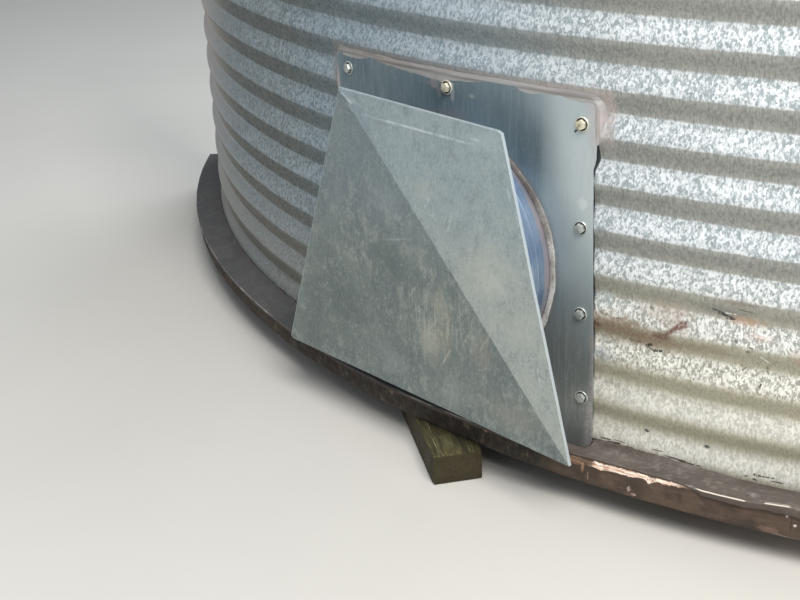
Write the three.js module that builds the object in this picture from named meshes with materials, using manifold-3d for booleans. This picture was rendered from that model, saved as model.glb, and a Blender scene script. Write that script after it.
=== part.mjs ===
// One bay of the foot of a round corrugated steel grain silo, with its hooded air vent.
// Millimetres, +Z up, the origin on the ground under the middle of the bay's box. The vent
// faces -Y at azimuth 0 round the silo's vertical axis, and azimuths grow towards +X.

import * as THREE from 'three';
import { ConvexGeometry } from 'three/addons/geometries/ConvexGeometry.js';
import { mergeVertices } from 'three/addons/utils/BufferGeometryUtils.js';
import Module from 'manifold-3d';

const wasm = await Module();
wasm.setup();

// Gap between pieces that touch, and the same gap as an angle at the wall
const GAP = 0.3;
const HALF_SEAM_ANGLE = 0.004;

// The bay: one sheet of the five that close the ring
const BAY_START = -48;
const BAY_ANGLE = 72;
const SEGMENTS = 6;
const FACET_ANGLE = 4;
const SILO_AXIS = [477.7, 2335.36];

// Corrugated wall sheet
const WALL_RADIUS = 2743;
const PITCH = 101.6;
const CORRUGATION_DEPTH = 12.7;
const CORRUGATION_STEPS = 6;
const SHEET = 1.5;
const WALL_RISE = 11.3 * PITCH;

// Timber foot, from the ground up
const BEARER_HEIGHT = 78;
const BEARER_WIDTH = 123;
const BEARER_AZIMUTH = 56.4;
const BEARER_SPACING = 250;
const SHOWN_BEARER_END = [136, -2893];
const DECK_INNER_RADIUS = 2580;
const DECK_OUTER_RADIUS = 2833.5;
const DECK_THICKNESS = 59;
const FELT = 4;
const FELT_RADIUS = 2840;
const FELT_LIP = 17;
const FELT_BELOW_CREST = 8;

// Steel angle that ties the sheet to the deck on the inside
const ANGLE_LEG = 50;
const ANGLE_THICKNESS = 5;

// Vent: flat plate bent round the crests, duct collar, and stand-off hood
const PLATE_WIDTH = 788;
const PLATE_BOTTOM = -7;
const PLATE_TOP = 792;
const PLATE_CORNER = 24;
const DUCT_RADIUS = 305;
const DUCT_WALL = 2;
const DUCT_OFFSET = -20;
const DUCT_HEIGHT = 378;
const DUCT_OUT = 61;
const DUCT_IN = 140;
const DUCT_FACETS = 40;
const BEAD_WIDTH = 26;
const BEAD_HEIGHT = 9;
const SEAL_WIDTH = 22;
const SEAL_HEIGHT = 7;
const HOOD_LIP = 12;
const STRAP_WIDTH = 30;
const STRAP_THICKNESS = 3;
const STRAP_REACH = 45;
const STRAP_ANGLES = [58.5, 121.5, 238.5, 301.5];

// Heights and radii that follow
const DECK_TOP = BEARER_HEIGHT + DECK_THICKNESS;
const FELT_TOP = DECK_TOP + FELT;
const FOOT = FELT_TOP + FELT_BELOW_CREST;
const WALL_TOP = FOOT + WALL_RISE;
const CREST_RADIUS = WALL_RADIUS + CORRUGATION_DEPTH / 2 + SHEET / 2;
const VALLEY_INNER_RADIUS = WALL_RADIUS - CORRUGATION_DEPTH / 2 - SHEET / 2;
const PLATE_INNER_RADIUS = CREST_RADIUS + GAP;
const PLATE_OUTER_RADIUS = PLATE_INNER_RADIUS + SHEET;
const FELT_INNER_RADIUS = PLATE_OUTER_RADIUS + 2 * GAP;

// Hood corners, seen from outside: right of the vent's middle, out from the crests, up from
// the foot. The sheet is folded along the diagonal from its top left to its bottom right.
const HOOD_CORNERS = [
  { right: -239, out: 112, up: 747 },
  { right: 238, out: 86, up: 711 },
  { right: 468, out: 137, up: 26 },
  { right: -489, out: 112, up: 31 },
];

const STEEL_WALL = { color: 0x9fa6a3, roughness: 0.45, metalness: 0.85 };
const STEEL_PLATE = { color: 0x6c7887, roughness: 0.5, metalness: 0.7 };
const STEEL_HOOD = { color: 0x7b8078, roughness: 0.6, metalness: 0.6 };
const STEEL_FRAME = { color: 0x868b8c, roughness: 0.55, metalness: 0.8 };
const SEALANT = { color: 0xa98f7a, roughness: 0.8, metalness: 0 };
const FELT_BLACK = { color: 0x3c393c, roughness: 0.9, metalness: 0 };
const TIMBER = { color: 0x5d4a38, roughness: 0.9, metalness: 0 };

const silo = new THREE.Group();
silo.position.set(...SILO_AXIS, 0);

function addPiece(name, geometry, finish) {
  const mesh = new THREE.Mesh(geometry, new THREE.MeshStandardMaterial(finish));
  mesh.name = name;
  silo.add(mesh);
  return mesh;
}

// A closed geometry with its shared corners merged
function welded(geometry) {
  geometry.deleteAttribute('normal');
  geometry.deleteAttribute('uv');
  return mergeVertices(geometry, 1e-4);
}

function toSolid(geometry) {
  const closed = welded(geometry);
  const vertProperties = new Float32Array(closed.attributes.position.array);
  const triVerts = new Uint32Array(closed.index.array);
  return new wasm.Manifold(new wasm.Mesh({ numProp: 3, vertProperties, triVerts }));
}

function toGeometry(solid) {
  const { vertProperties, triVerts } = solid.getMesh();
  const geometry = new THREE.BufferGeometry();
  geometry.setAttribute('position', new THREE.BufferAttribute(new Float32Array(vertProperties), 3));
  geometry.setIndex(new THREE.BufferAttribute(new Uint32Array(triVerts), 1));
  geometry.computeVertexNormals();
  return geometry;
}

// Sweeps a section, given as [radius, height] corners, round the silo's axis
function ring(section, fromAzimuth, toAzimuth) {
  const shape = new THREE.Shape(section.map(([radius, height]) => new THREE.Vector2(radius, height)));
  const sweep = toAzimuth - fromAzimuth;
  const steps = Math.max(1, Math.round(sweep / FACET_ANGLE));
  const geometry = new THREE.ExtrudeGeometry(shape, { depth: sweep, steps, bevelEnabled: false });
  const corners = geometry.attributes.position;
  for (let i = 0; i < corners.count; i += 1) {
    const radius = corners.getX(i);
    const azimuth = THREE.MathUtils.degToRad(toAzimuth - corners.getZ(i));
    corners.setXYZ(i, radius * Math.sin(azimuth), -radius * Math.cos(azimuth), corners.getY(i));
  }
  return welded(geometry);
}

function box(left, right, bottom, top) {
  return [[left, bottom], [right, bottom], [right, top], [left, top]];
}

// Calls make(name, from, to) for each equal part of the bay, with a seam between neighbours
function alongBay(name, count, make) {
  const step = BAY_ANGLE / count;
  for (let i = 0; i < count; i += 1) {
    const from = BAY_START + i * step;
    make(`${name}_${i + 1}`, from + HALF_SEAM_ANGLE, from + step - HALF_SEAM_ANGLE);
  }
}

// Section through the sheet: up its outer face and down its inner one
function corrugatedSection() {
  const outer = [];
  const inner = [];
  const step = PITCH / CORRUGATION_STEPS;
  const bottom = DECK_TOP + GAP;
  const levels = [bottom];
  for (let height = FOOT; height < WALL_TOP; height += step) levels.push(height);
  levels.push(WALL_TOP);
  for (const height of levels) {
    const wave = Math.cos((2 * Math.PI * (height - FOOT)) / PITCH);
    const middle = WALL_RADIUS + (CORRUGATION_DEPTH / 2) * wave;
    outer.push([middle + SHEET / 2, height]);
    inner.unshift([middle - SHEET / 2, height]);
  }
  return [...outer, ...inner];
}

// A straight round bar through the wall at the vent, along its outward direction
function ductCore(radius, reachOut, reachIn) {
  const core = new THREE.CylinderGeometry(radius, radius, reachOut + reachIn, DUCT_FACETS);
  core.translate(DUCT_OFFSET, -CREST_RADIUS - (reachOut - reachIn) / 2, FOOT + DUCT_HEIGHT);
  return core;
}

// A layer that follows the bent plate, between two distances out from the plate's face
function layerOnPlate(from, to, bottom, top) {
  const section = box(PLATE_OUTER_RADIUS + from, PLATE_OUTER_RADIUS + to, bottom, top);
  return toSolid(ring(section, -3 * FACET_ANGLE, 3 * FACET_ANGLE));
}

// A prism through the vent plate from an outline drawn as seen from outside
function prismOut(shape) {
  const depth = 400;
  const geometry = new THREE.ExtrudeGeometry(shape, { depth, bevelEnabled: false, curveSegments: 5 });
  geometry.rotateX(Math.PI / 2);
  geometry.translate(0, -CREST_RADIUS + depth / 2, 0);
  return toSolid(geometry);
}

function roundedRectangle(width, bottom, top, corner) {
  const half = width / 2;
  const shape = new THREE.Shape();
  shape.moveTo(-half + corner, bottom);
  shape.lineTo(half - corner, bottom);
  shape.absarc(half - corner, bottom + corner, corner, -Math.PI / 2, 0);
  shape.lineTo(half, top - corner);
  shape.absarc(half - corner, top - corner, corner, 0, Math.PI / 2);
  shape.lineTo(-half + corner, top);
  shape.absarc(-half + corner, top - corner, corner, Math.PI / 2, Math.PI);
  shape.lineTo(-half, bottom + corner);
  shape.absarc(-half + corner, bottom + corner, corner, Math.PI, 1.5 * Math.PI);
  return shape;
}

function wall() {
  const section = corrugatedSection();
  const cutter = toSolid(ductCore(DUCT_RADIUS + 1, 60, 60));
  alongBay('wall', SEGMENTS, (name, from, to) => {
    const sheet = toSolid(ring(section, from, to)).subtract(cutter);
    addPiece(name, toGeometry(sheet), STEEL_WALL);
  });
}

function deck() {
  const section = box(DECK_INNER_RADIUS, DECK_OUTER_RADIUS, BEARER_HEIGHT, DECK_TOP);
  alongBay('deck', SEGMENTS, (name, from, to) => {
    addPiece(name, ring(section, from, to), TIMBER);
  });
}

// Felt over the rim, with a turned-down lip outside
function flashing() {
  const seat = DECK_TOP + GAP;
  const lipInner = DECK_OUTER_RADIUS + GAP;
  const section = [
    [FELT_INNER_RADIUS, seat],
    [lipInner, seat],
    [lipInner, FELT_TOP - FELT_LIP],
    [FELT_RADIUS, FELT_TOP - FELT_LIP],
    [FELT_RADIUS, FELT_TOP],
    [FELT_INNER_RADIUS, FELT_TOP],
  ];
  alongBay('flashing', SEGMENTS / 2, (name, from, to) => {
    addPiece(name, ring(section, from, to), FELT_BLACK);
  });
}

function footAngle() {
  const back = VALLEY_INNER_RADIUS - GAP;
  const seat = DECK_TOP + GAP;
  const section = [
    [back - ANGLE_LEG, seat],
    [back, seat],
    [back, seat + ANGLE_LEG],
    [back - ANGLE_THICKNESS, seat + ANGLE_LEG],
    [back - ANGLE_THICKNESS, seat + ANGLE_THICKNESS],
    [back - ANGLE_LEG, seat + ANGLE_THICKNESS],
  ];
  alongBay('foot_angle', SEGMENTS / 2, (name, from, to) => {
    addPiece(name, ring(section, from, to), STEEL_FRAME);
  });
}

// Parallel bearers under the deck. The second runs out past the rim, the others stop short.
function bearers() {
  const turn = THREE.MathUtils.degToRad(BEARER_AZIMUTH);
  const along = new THREE.Vector2(Math.sin(turn), -Math.cos(turn));
  const across = new THREE.Vector2(-along.y, along.x);
  const shownEnd = new THREE.Vector2(...SHOWN_BEARER_END);
  const recessedRadius = DECK_OUTER_RADIUS - 153;
  const lengths = [1200, 900, 520, 520, 520];
  lengths.forEach((length, i) => {
    const offset = across.dot(shownEnd) + (i - 1) * BEARER_SPACING;
    const recessed = Math.sqrt(recessedRadius ** 2 - offset ** 2);
    const ends = [length / 2, along.dot(shownEnd), recessed, recessed, recessed];
    const middle = along.clone().multiplyScalar(ends[i] - length / 2);
    middle.addScaledVector(across, offset);
    const height = BEARER_HEIGHT - GAP;
    const beam = addPiece(`bearer_${i + 1}`,
      new THREE.BoxGeometry(length, BEARER_WIDTH, height), TIMBER);
    beam.position.set(middle.x, middle.y, height / 2);
    beam.rotation.z = turn - Math.PI / 2;
  });
}

function ventPlate() {
  const sheet = layerOnPlate(-SHEET, 0, FOOT + PLATE_BOTTOM - 10, FOOT + PLATE_TOP + 10);
  const outline = roundedRectangle(PLATE_WIDTH, FOOT + PLATE_BOTTOM, FOOT + PLATE_TOP, PLATE_CORNER);
  const hole = toSolid(ductCore(DUCT_RADIUS + GAP, 60, 60));
  const plate = sheet.intersect(prismOut(outline)).subtract(hole);
  addPiece('vent_plate', toGeometry(plate), STEEL_PLATE);
}

function ductCollar() {
  const tube = toSolid(ductCore(DUCT_RADIUS, DUCT_OUT, DUCT_IN));
  const bore = toSolid(ductCore(DUCT_RADIUS - DUCT_WALL, DUCT_OUT + 10, DUCT_IN + 10));
  addPiece('duct_collar', toGeometry(tube.subtract(bore)), STEEL_FRAME);

  const bead = layerOnPlate(GAP, BEAD_HEIGHT, FOOT, FOOT + PLATE_TOP)
    .intersect(toSolid(ductCore(DUCT_RADIUS + BEAD_WIDTH, 60, 60)))
    .subtract(toSolid(ductCore(DUCT_RADIUS + GAP, 70, 70)));
  addPiece('duct_bead', toGeometry(bead), SEALANT);
}

// Sealant smeared over the plate's top edge and the top of its two sides
function plateSeals() {
  const top = FOOT + PLATE_TOP;
  const layer = layerOnPlate(GAP, SEAL_HEIGHT, top - 250, top + 30);
  const edge = PLATE_WIDTH / 2;
  const strips = {
    plate_seal_top: box(-edge - 12, edge + 12, top - 6, top + SEAL_WIDTH - 6),
    plate_seal_left: box(-edge - 12, -edge + 10, top - 190, top - 6 - GAP),
    plate_seal_right: box(edge - 10, edge + 12, top - 110, top - 6 - GAP),
  };
  for (const [name, corners] of Object.entries(strips)) {
    const outline = new THREE.Shape(corners.map(([x, y]) => new THREE.Vector2(x, y)));
    addPiece(name, toGeometry(layer.intersect(prismOut(outline))), SEALANT);
  }
}

// The convex body that lies behind the folded hood sheet, from one depth to another
function behindHood(from, to, inset) {
  const middle = HOOD_CORNERS.reduce((sum, corner) => sum + corner.up / HOOD_CORNERS.length, 0);
  const points = [];
  for (const { right, out, up } of HOOD_CORNERS) {
    const x = right - Math.sign(right) * inset;
    const z = FOOT + up - Math.sign(up - middle) * inset;
    points.push(new THREE.Vector3(x, -CREST_RADIUS - out + from, z));
    points.push(new THREE.Vector3(x, -CREST_RADIUS - out + to, z));
  }
  return toSolid(new ConvexGeometry(points));
}

function hood() {
  const pan = behindHood(0, HOOD_LIP, 0).subtract(behindHood(SHEET, 3 * HOOD_LIP, SHEET));
  addPiece('hood', toGeometry(pan), STEEL_HOOD);
}

// Bent straps from inside the duct's mouth to the back of the hood
function hoodStraps() {
  const facetRadius = (DUCT_RADIUS - DUCT_WALL) * Math.cos(Math.PI / DUCT_FACETS) - GAP;
  const back = SHEET + GAP;
  const behind = behindHood(back, 300, 0);
  const foot = behind.subtract(behindHood(back + STRAP_THICKNESS, 300, 0));
  STRAP_ANGLES.forEach((angle, i) => {
    const placed = (length, depth) => {
      const bar = new THREE.BoxGeometry(length, depth, STRAP_WIDTH);
      bar.translate(facetRadius - length / 2, -CREST_RADIUS - 40, 0);
      bar.rotateY(-THREE.MathUtils.degToRad(angle));
      bar.translate(DUCT_OFFSET, 0, FOOT + DUCT_HEIGHT);
      return toSolid(bar);
    };
    const leg = placed(STRAP_THICKNESS, 200).intersect(behind);
    const toe = placed(STRAP_REACH, 200).intersect(foot);
    addPiece(`hood_strap_${i + 1}`, toGeometry(leg.add(toe)), STEEL_FRAME);
  });
}

wall();
deck();
flashing();
footAngle();
bearers();
ventPlate();
ductCollar();
plateSeals();
hood();
hoodStraps();

export default silo;
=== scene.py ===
# %% [markdown]
# # The foot of a corrugated grain silo, with a hooded air vent
#
# A round grain silo is a ring of corrugated, zinc-coated steel on a timber deck. Air is
# blown in near the foot through a round duct. A flat plate, bolted over the corrugations,
# carries the duct, and a folded sheet stands off in front of it to keep the rain out.
#
# The CAD part already has every size and place. This lesson dresses it: finer meshes where
# the real sheet is finer than the solids, and procedural materials on everything.

# %% Load the frame
import math

import bmesh
import bpy
import numpy as np
from mathutils import Matrix, Vector, noise


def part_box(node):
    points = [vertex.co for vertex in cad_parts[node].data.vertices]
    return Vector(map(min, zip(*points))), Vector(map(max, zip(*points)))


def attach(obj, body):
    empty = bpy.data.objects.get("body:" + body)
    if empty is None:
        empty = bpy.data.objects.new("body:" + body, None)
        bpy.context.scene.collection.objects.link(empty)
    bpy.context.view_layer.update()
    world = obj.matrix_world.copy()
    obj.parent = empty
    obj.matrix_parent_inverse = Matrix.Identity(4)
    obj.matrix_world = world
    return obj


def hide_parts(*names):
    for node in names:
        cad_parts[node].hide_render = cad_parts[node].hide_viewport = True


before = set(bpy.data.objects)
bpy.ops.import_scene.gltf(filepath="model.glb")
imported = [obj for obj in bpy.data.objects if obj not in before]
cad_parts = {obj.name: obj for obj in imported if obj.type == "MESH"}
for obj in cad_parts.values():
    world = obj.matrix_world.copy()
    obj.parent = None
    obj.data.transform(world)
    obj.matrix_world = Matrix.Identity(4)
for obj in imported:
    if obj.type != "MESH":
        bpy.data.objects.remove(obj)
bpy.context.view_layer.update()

# %% [markdown]
# ## Driving sizes
#
# The silo is round, so a place on it is easiest to say as an azimuth round its upright axis,
# a radius and a height. Azimuth 0 is the middle of the vent, which faces -Y. The sheet has a
# four inch pitch, and every height is counted from its lowest crest.

# %% Name the driving sizes
MM = 0.001
SILO_AXIS = Vector((477.7, 2335.36, 0)) * MM
FOOT = 149 * MM
WALL_RADIUS = 2743 * MM
PITCH = 101.6 * MM
CORRUGATION_DEPTH = 12.7 * MM
SHEET = 1.5 * MM
CREST = WALL_RADIUS + (CORRUGATION_DEPTH + SHEET) / 2
BAY_ENDS = (-48, 24)
PLATE_FACE = CREST + 1.8 * MM
PLATE_HALF = 394 * MM
PLATE_SIDE = math.degrees(PLATE_HALF / CREST)
PLATE_TOP = FOOT + 792 * MM
DUCT_RIGHT, DUCT_UP = -20, 378
DUCT_RADIUS = 305 * MM


def stacked(*coordinates):
    """Points from their coordinates, which may be arrays or single numbers."""
    return np.stack(np.broadcast_arrays(*coordinates), axis=-1)


def around(azimuth, radius, height):
    """Points in the row frame from degrees round the silo, radius and height."""
    turn = np.radians(azimuth)
    x = SILO_AXIS.x + radius * np.sin(turn)
    y = SILO_AXIS.y - radius * np.cos(turn)
    return stacked(x, y, height)


def seen(right, out, up):
    """A point given as seen from outside, in mm: right of the vent's middle, out, up."""
    return Vector((right, -out, up)) * MM + Vector((SILO_AXIS.x, SILO_AXIS.y - CREST, FOOT))


print("silo diameter", round(2 * WALL_RADIUS, 3), "m, duct", 2 * DUCT_RADIUS, "m")

# %% [markdown]
# ## Camera
#
# The angles were found once, by fitting a camera to the corrugations, which are parallel
# circles a known distance apart. Three plain turns are easier to read than a matrix: first
# roll, then tilt, then heading. Depth of field stays off, so that every piece is sharp.

# %% Place the camera
camera_data = bpy.data.cameras.new("camera")
camera_data.lens, camera_data.sensor_width = 56.67, 36
camera = bpy.data.objects.new("camera", camera_data)
camera.location = (2.3682, -2.4394, 1.6265)
HEADING, ELEVATION, ROLL = (math.radians(angle) for angle in (45.679, -24.008, -2.433))
turn = (Matrix.Rotation(HEADING, 3, "Z") @ Matrix.Rotation(math.pi / 2 + ELEVATION, 3, "X")
        @ Matrix.Rotation(ROLL, 3, "Z"))
camera.rotation_euler = turn.to_euler()
bpy.context.scene.collection.objects.link(camera)
bpy.context.scene.camera = camera
print("camera is", round((camera.location - seen(0, 0, 300)).length, 2), "m from the vent")

# %% [markdown]
# ## Shader helpers
#
# A node tree built in Python is long, because each node is made, set and linked in separate
# lines. A small class with short words for it keeps the materials readable. Each method adds
# one node and gives the socket that comes out of it. A value may be a number, a tuple, a
# screen colour in hex, or what came out of another node.

# %% Write node trees in short words
ORIGIN = (0.0, 0.0, 0.0)


def tone(colour):
    """Linear colour of a screen colour written as hex, such as 9aa3a5."""
    screen = [int(colour[i:i + 2], 16) / 255 for i in (0, 2, 4)]
    return (*[((v + 0.055) / 1.055) ** 2.4 if v > 0.04 else v / 12.92 for v in screen], 1)


class Nodes:
    """Adds nodes to a tree; its place is that of the shaded point, in metres."""

    def __init__(self, tree, place=None):
        self.tree, self.place = tree, place

    def put(self, socket, value):
        if isinstance(value, bpy.types.NodeSocket):
            self.tree.links.new(value, socket)
        else:
            socket.default_value = tone(value) if isinstance(value, str) else value

    def add(self, kind, values, **settings):
        node = self.tree.nodes.new("ShaderNode" + kind)
        for name, value in settings.items():
            setattr(node, name, value)
        for name, value in values.items():
            self.put(node.inputs[name], value)
        return node

    def math(self, operation, a, b=0.0):
        return self.add("Math", {0: a, 1: b}, operation=operation).outputs[0]

    def plus(self, a, b):
        return self.math("ADD", a, b)

    def minus(self, a, b):
        return self.math("SUBTRACT", a, b)

    def times(self, product, *others):
        for value in others:
            product = self.math("MULTIPLY", product, value)
        return product

    def fade(self, value, start, end, low=0.0, high=1.0):
        """Smooth step of value from low at start to high at end."""
        values = {"Value": value, "From Min": start, "From Max": end, "To Min": low,
                  "To Max": high}
        return self.add("MapRange", values, interpolation_type="SMOOTHSTEP").outputs[0]

    def blend(self, share, a, b):
        """A number between the numbers a and b."""
        return self.add("Mix", {0: share, 2: a, 3: b}).outputs[0]

    def mix(self, share, a, b):
        """A colour between the colours a and b."""
        node = self.add("Mix", {}, data_type="RGBA")
        for index, value in ((0, share), (6, a), (7, b)):
            self.put(node.inputs[index], value)
        return node.outputs[2]


# %% [markdown]
# Vectors need a few words of their own. Noise is said by the size of its features, which is
# what can be measured on the real thing, and may be stretched along an axis.

# %% Vectors and noise in short words
class Shader(Nodes):
    """The same, with vectors, noise and groups."""

    def vector(self, operation, a, b=ORIGIN):
        node = self.add("VectorMath", {0: a, 1: b}, operation=operation)
        return node.outputs["Value" if operation in ("LENGTH", "DOT_PRODUCT") else "Vector"]

    def scaled(self, vector, factor):
        values = {0: vector, "Scale": factor}
        return self.add("VectorMath", values, operation="SCALE").outputs[0]

    def join(self, x, y, z):
        return self.add("CombineXYZ", {"X": x, "Y": y, "Z": z}).outputs[0]

    def parts(self, vector):
        return self.add("SeparateXYZ", {0: vector}).outputs

    def normal(self, kind="Normal"):
        return self.add("NewGeometry", {}).outputs[kind]

    def cloud(self, vector, scale, detail, roughness=0.5):
        """Soft noise from 0 to 1, with features 1 / scale across."""
        values = {"Vector": vector, "Scale": scale, "Detail": detail, "Roughness": roughness}
        return self.add("TexNoise", values).outputs[0]

    def noise(self, size, stretch=(1, 1, 1), detail=3.0, roughness=0.5, place=None):
        """The same, with features about size metres across."""
        grain = tuple(1 / (size * share) for share in stretch)
        grown = self.vector("MULTIPLY", place or self.place, grain)
        return self.cloud(grown, 1.0, detail, roughness)

    def group(self, name, **values):
        """A shared effect, which gets the builder's place if it takes one."""
        node = self.add("Group", {}, node_tree=bpy.data.node_groups[name])
        if "Place" in node.inputs:
            self.put(node.inputs["Place"], self.place)
        for label, value in values.items():
            self.put(node.inputs[label.replace("_", " ")], value)
        return node.outputs


# %% [markdown]
# An effect that several materials share becomes a node group: a small tree of its own, whose
# inputs and outputs have names. Blender needs the kind of each of them to be said, and a
# default, which shows what size of value is meant.

# %% Make shared effects
def shader_group(name, inputs, outputs):
    """A new node group with named sockets: its builder, what goes in, what comes out."""
    tree = bpy.data.node_groups.new(name, "ShaderNodeTree")
    for label, value in inputs.items():
        kind = "NodeSocketVector" if isinstance(value, tuple) else "NodeSocketFloat"
        socket = tree.interface.new_socket(name=label, in_out="INPUT", socket_type=kind)
        socket.default_value = value
    for label, kind in outputs.items():
        tree.interface.new_socket(name=label, in_out="OUTPUT", socket_type="NodeSocket" + kind)
    entry = tree.nodes.new("NodeGroupInput").outputs
    result = tree.nodes.new("NodeGroupOutput").inputs
    print("group", name, "takes", list(inputs), "and gives", list(outputs))
    return Shader(tree, entry.get("Place")), entry, result


# %% [markdown]
# ## Shared effects
#
# Hot-dip zinc freezes in flakes of about a centimetre, each with its own brightness and a
# slightly different tilt. Voronoi cells have that shape: a random colour for each cell gives
# the brightness, and the same colour bends the normal, so that lights glint off some flakes.

# %% Zinc spangle
s, given, result = shader_group(
    "Zinc spangle", {"Place": ORIGIN, "Flake Size": 0.01, "Upright": 1.6, "Tilt": 0.1},
    {"Flake": "Float", "Normal": "Vector"})
bend = s.noise(0.012, detail=2)
bend = s.vector("MULTIPLY", s.join(bend, bend, bend), (0.004, 0.004, 0.006))
size = given["Flake Size"]
grid = s.vector("DIVIDE", s.vector("ADD", s.place, bend),
                s.join(size, size, s.times(size, given["Upright"])))
large = s.add("TexVoronoi", {"Vector": grid, "Scale": 1.0}).outputs["Color"]
small = s.add("TexVoronoi", {"Vector": grid, "Scale": 2.3}).outputs["Color"]
colours = s.mix(0.42, large, small)
s.put(result["Flake"], s.add("SeparateColor", {0: colours}).outputs[0])
lean = s.scaled(s.vector("SUBTRACT", colours, (0.5, 0.5, 0.5)), given["Tilt"])
s.put(result["Normal"], s.vector("NORMALIZE", s.vector("ADD", s.normal(), lean)))

# %% [markdown]
# Rain leaves upright marks. Noise that is squeezed sideways and pulled out in height makes
# them, and two widths together look less even than one.

# %% Run marks
s, given, result = shader_group(
    "Run marks", {"Place": ORIGIN, "Width": 0.006, "Length": 0.2}, {"Mark": "Float"})
stretched = s.vector("DIVIDE", s.place, s.join(given["Width"], given["Width"], given["Length"]))
wide, narrow = s.cloud(stretched, 0.3, 2.0), s.cloud(stretched, 1.0, 3.0)
s.put(result["Mark"], s.fade(s.plus(s.times(wide, 0.5), s.times(narrow, 0.5)), 0.36, 0.64))

# %% [markdown]
# A stain, a smear or a worn spot sits at one place. The group measures how far each point is
# from the middle of an egg-shaped patch, and noise makes the patch's edge ragged.

# %% Ragged patch
s, given, result = shader_group(
    "Ragged patch", {"Place": ORIGIN, "Middle": ORIGIN, "Reach": (0.1, 0.1, 0.1),
                     "Grain": 0.02, "Ragged": 0.8, "Soft": 0.5}, {"Mask": "Float"})
offset = s.vector("DIVIDE", s.vector("SUBTRACT", s.place, given["Middle"]), given["Reach"])
speckle = s.scaled(s.place, s.math("DIVIDE", 1.0, given["Grain"]))
ragged = s.times(s.minus(s.cloud(speckle, 1.0, 4.0, 0.65), 0.5), given["Ragged"])
edge = s.plus(s.vector("LENGTH", offset), s.times(ragged, 2.0))
s.put(result["Mask"], s.fade(edge, 1.0, s.minus(1.0, given["Soft"])))

# %% [markdown]
# Rain washes what faces up and leaves dirt on what faces down. What faces down is also in
# shade, so the mask marks dirt together with painted shade there. The upright part of the
# normal tells the two apart, with a little noise so that the line between them isn't drawn.

# %% Dirt and shade under ridges
s, given, result = shader_group(
    "Dirt and shade under ridges", {"Place": ORIGIN, "Clean At": 0.08, "Dirty At": -0.08},
    {"Mask": "Float"})
uneven = s.times(s.minus(s.noise(0.02), 0.5), 0.12)
facing = s.plus(s.parts(s.normal())["Z"], uneven)
s.put(result["Mask"], s.fade(facing, given["Clean At"], given["Dirty At"]))

# %% [markdown]
# Edges get rubbed bare. A Bevel node gives the normal that a rounded edge would have. Where
# that differs from the true normal there is an edge, even on a mesh with few faces.

# %% Worn edges
s, given, result = shader_group(
    "Worn edges", {"Place": ORIGIN, "Grain": 0.01}, {"Mask": "Float"})
rounded = s.add("Bevel", {"Radius": 0.0025}, samples=4).outputs[0]
bent = s.minus(1.0, s.vector("DOT_PRODUCT", rounded, s.normal()))
patchy = s.cloud(s.scaled(s.place, s.math("DIVIDE", 1.0, given["Grain"])), 1.0, 3.0)
s.put(result["Mask"], s.fade(s.times(bent, s.plus(patchy, 0.5)), 0.02, 0.16))

# %% [markdown]
# Sawn timber shows long fibres, a slow change from board to board and a few splits. All of
# it is noise pulled out along the grain, so the group takes a place whose X runs that way.

# %% Timber grain
s, given, result = shader_group(
    "Timber grain", {"Along": ORIGIN, "Fibre": 0.0025}, {"Grain": "Float", "Split": "Float"})
width = given["Fibre"]
fibres = s.vector("DIVIDE", given["Along"], s.join(s.times(width, 30.0), width, width))
fibre, broad = s.cloud(fibres, 1.0, 4.0, 0.7), s.cloud(fibres, 0.16, 3.0)
s.put(result["Grain"], s.plus(s.times(fibre, 0.6), s.times(broad, 0.4)))
s.put(result["Split"], s.fade(broad, 0.64, 0.7))

# %% [markdown]
# Some finishes follow the round silo: wood grain in the rim, brushed felt, the side that
# weather reaches. One group turns a place into a length round the silo, a radius and a height.

# %% Round-the-silo places
s, given, result = shader_group(
    "Round the silo", {"Place": ORIGIN}, {"Along": "Vector", "Azimuth": "Float"})
x, y, z = s.parts(s.vector("SUBTRACT", s.place, (SILO_AXIS.x, SILO_AXIS.y, 0.0)))
turn = s.math("ARCTAN2", x, s.times(y, -1.0))
radius = s.math("SQRT", s.plus(s.times(x, x), s.times(y, y)))
s.put(result["Along"], s.join(s.times(turn, CREST), radius, z))
s.put(result["Azimuth"], s.times(turn, 180 / math.pi))

# %% [markdown]
# Scratches and press marks are short straight lines. The group finds the nearest point on the
# line from start to end, and the mask falls off with the distance from it and towards its ends.

# %% Line mark
s, given, result = shader_group(
    "Line mark", {"Place": ORIGIN, "Start": ORIGIN, "End": (0.0, 0.0, 1.0), "Width": 0.002},
    {"Mask": "Float"})
along = s.vector("SUBTRACT", given["End"], given["Start"])
reach = s.vector("SUBTRACT", s.place, given["Start"])
share = s.math("DIVIDE", s.vector("DOT_PRODUCT", reach, along),
               s.vector("DOT_PRODUCT", along, along))
share.node.use_clamp = True
away = s.vector("LENGTH", s.vector("SUBTRACT", reach, s.scaled(along, share)))
away = s.math("DIVIDE", away, given["Width"])
from_middle = s.math("ABSOLUTE", s.minus(share, 0.5))
s.put(result["Mask"], s.times(s.fade(away, 1.0, 0.3), s.fade(from_middle, 0.5, 0.3)))

# %% [markdown]
# ## Finishes
#
# A real finish is laid down in coats: the bare material, then dust, stains, smears and rubbed
# spots over one another. A finish here is built the same way. Each coat has a colour and
# masks that say where it lies. In the cells that follow, s is the finish in hand.

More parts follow.
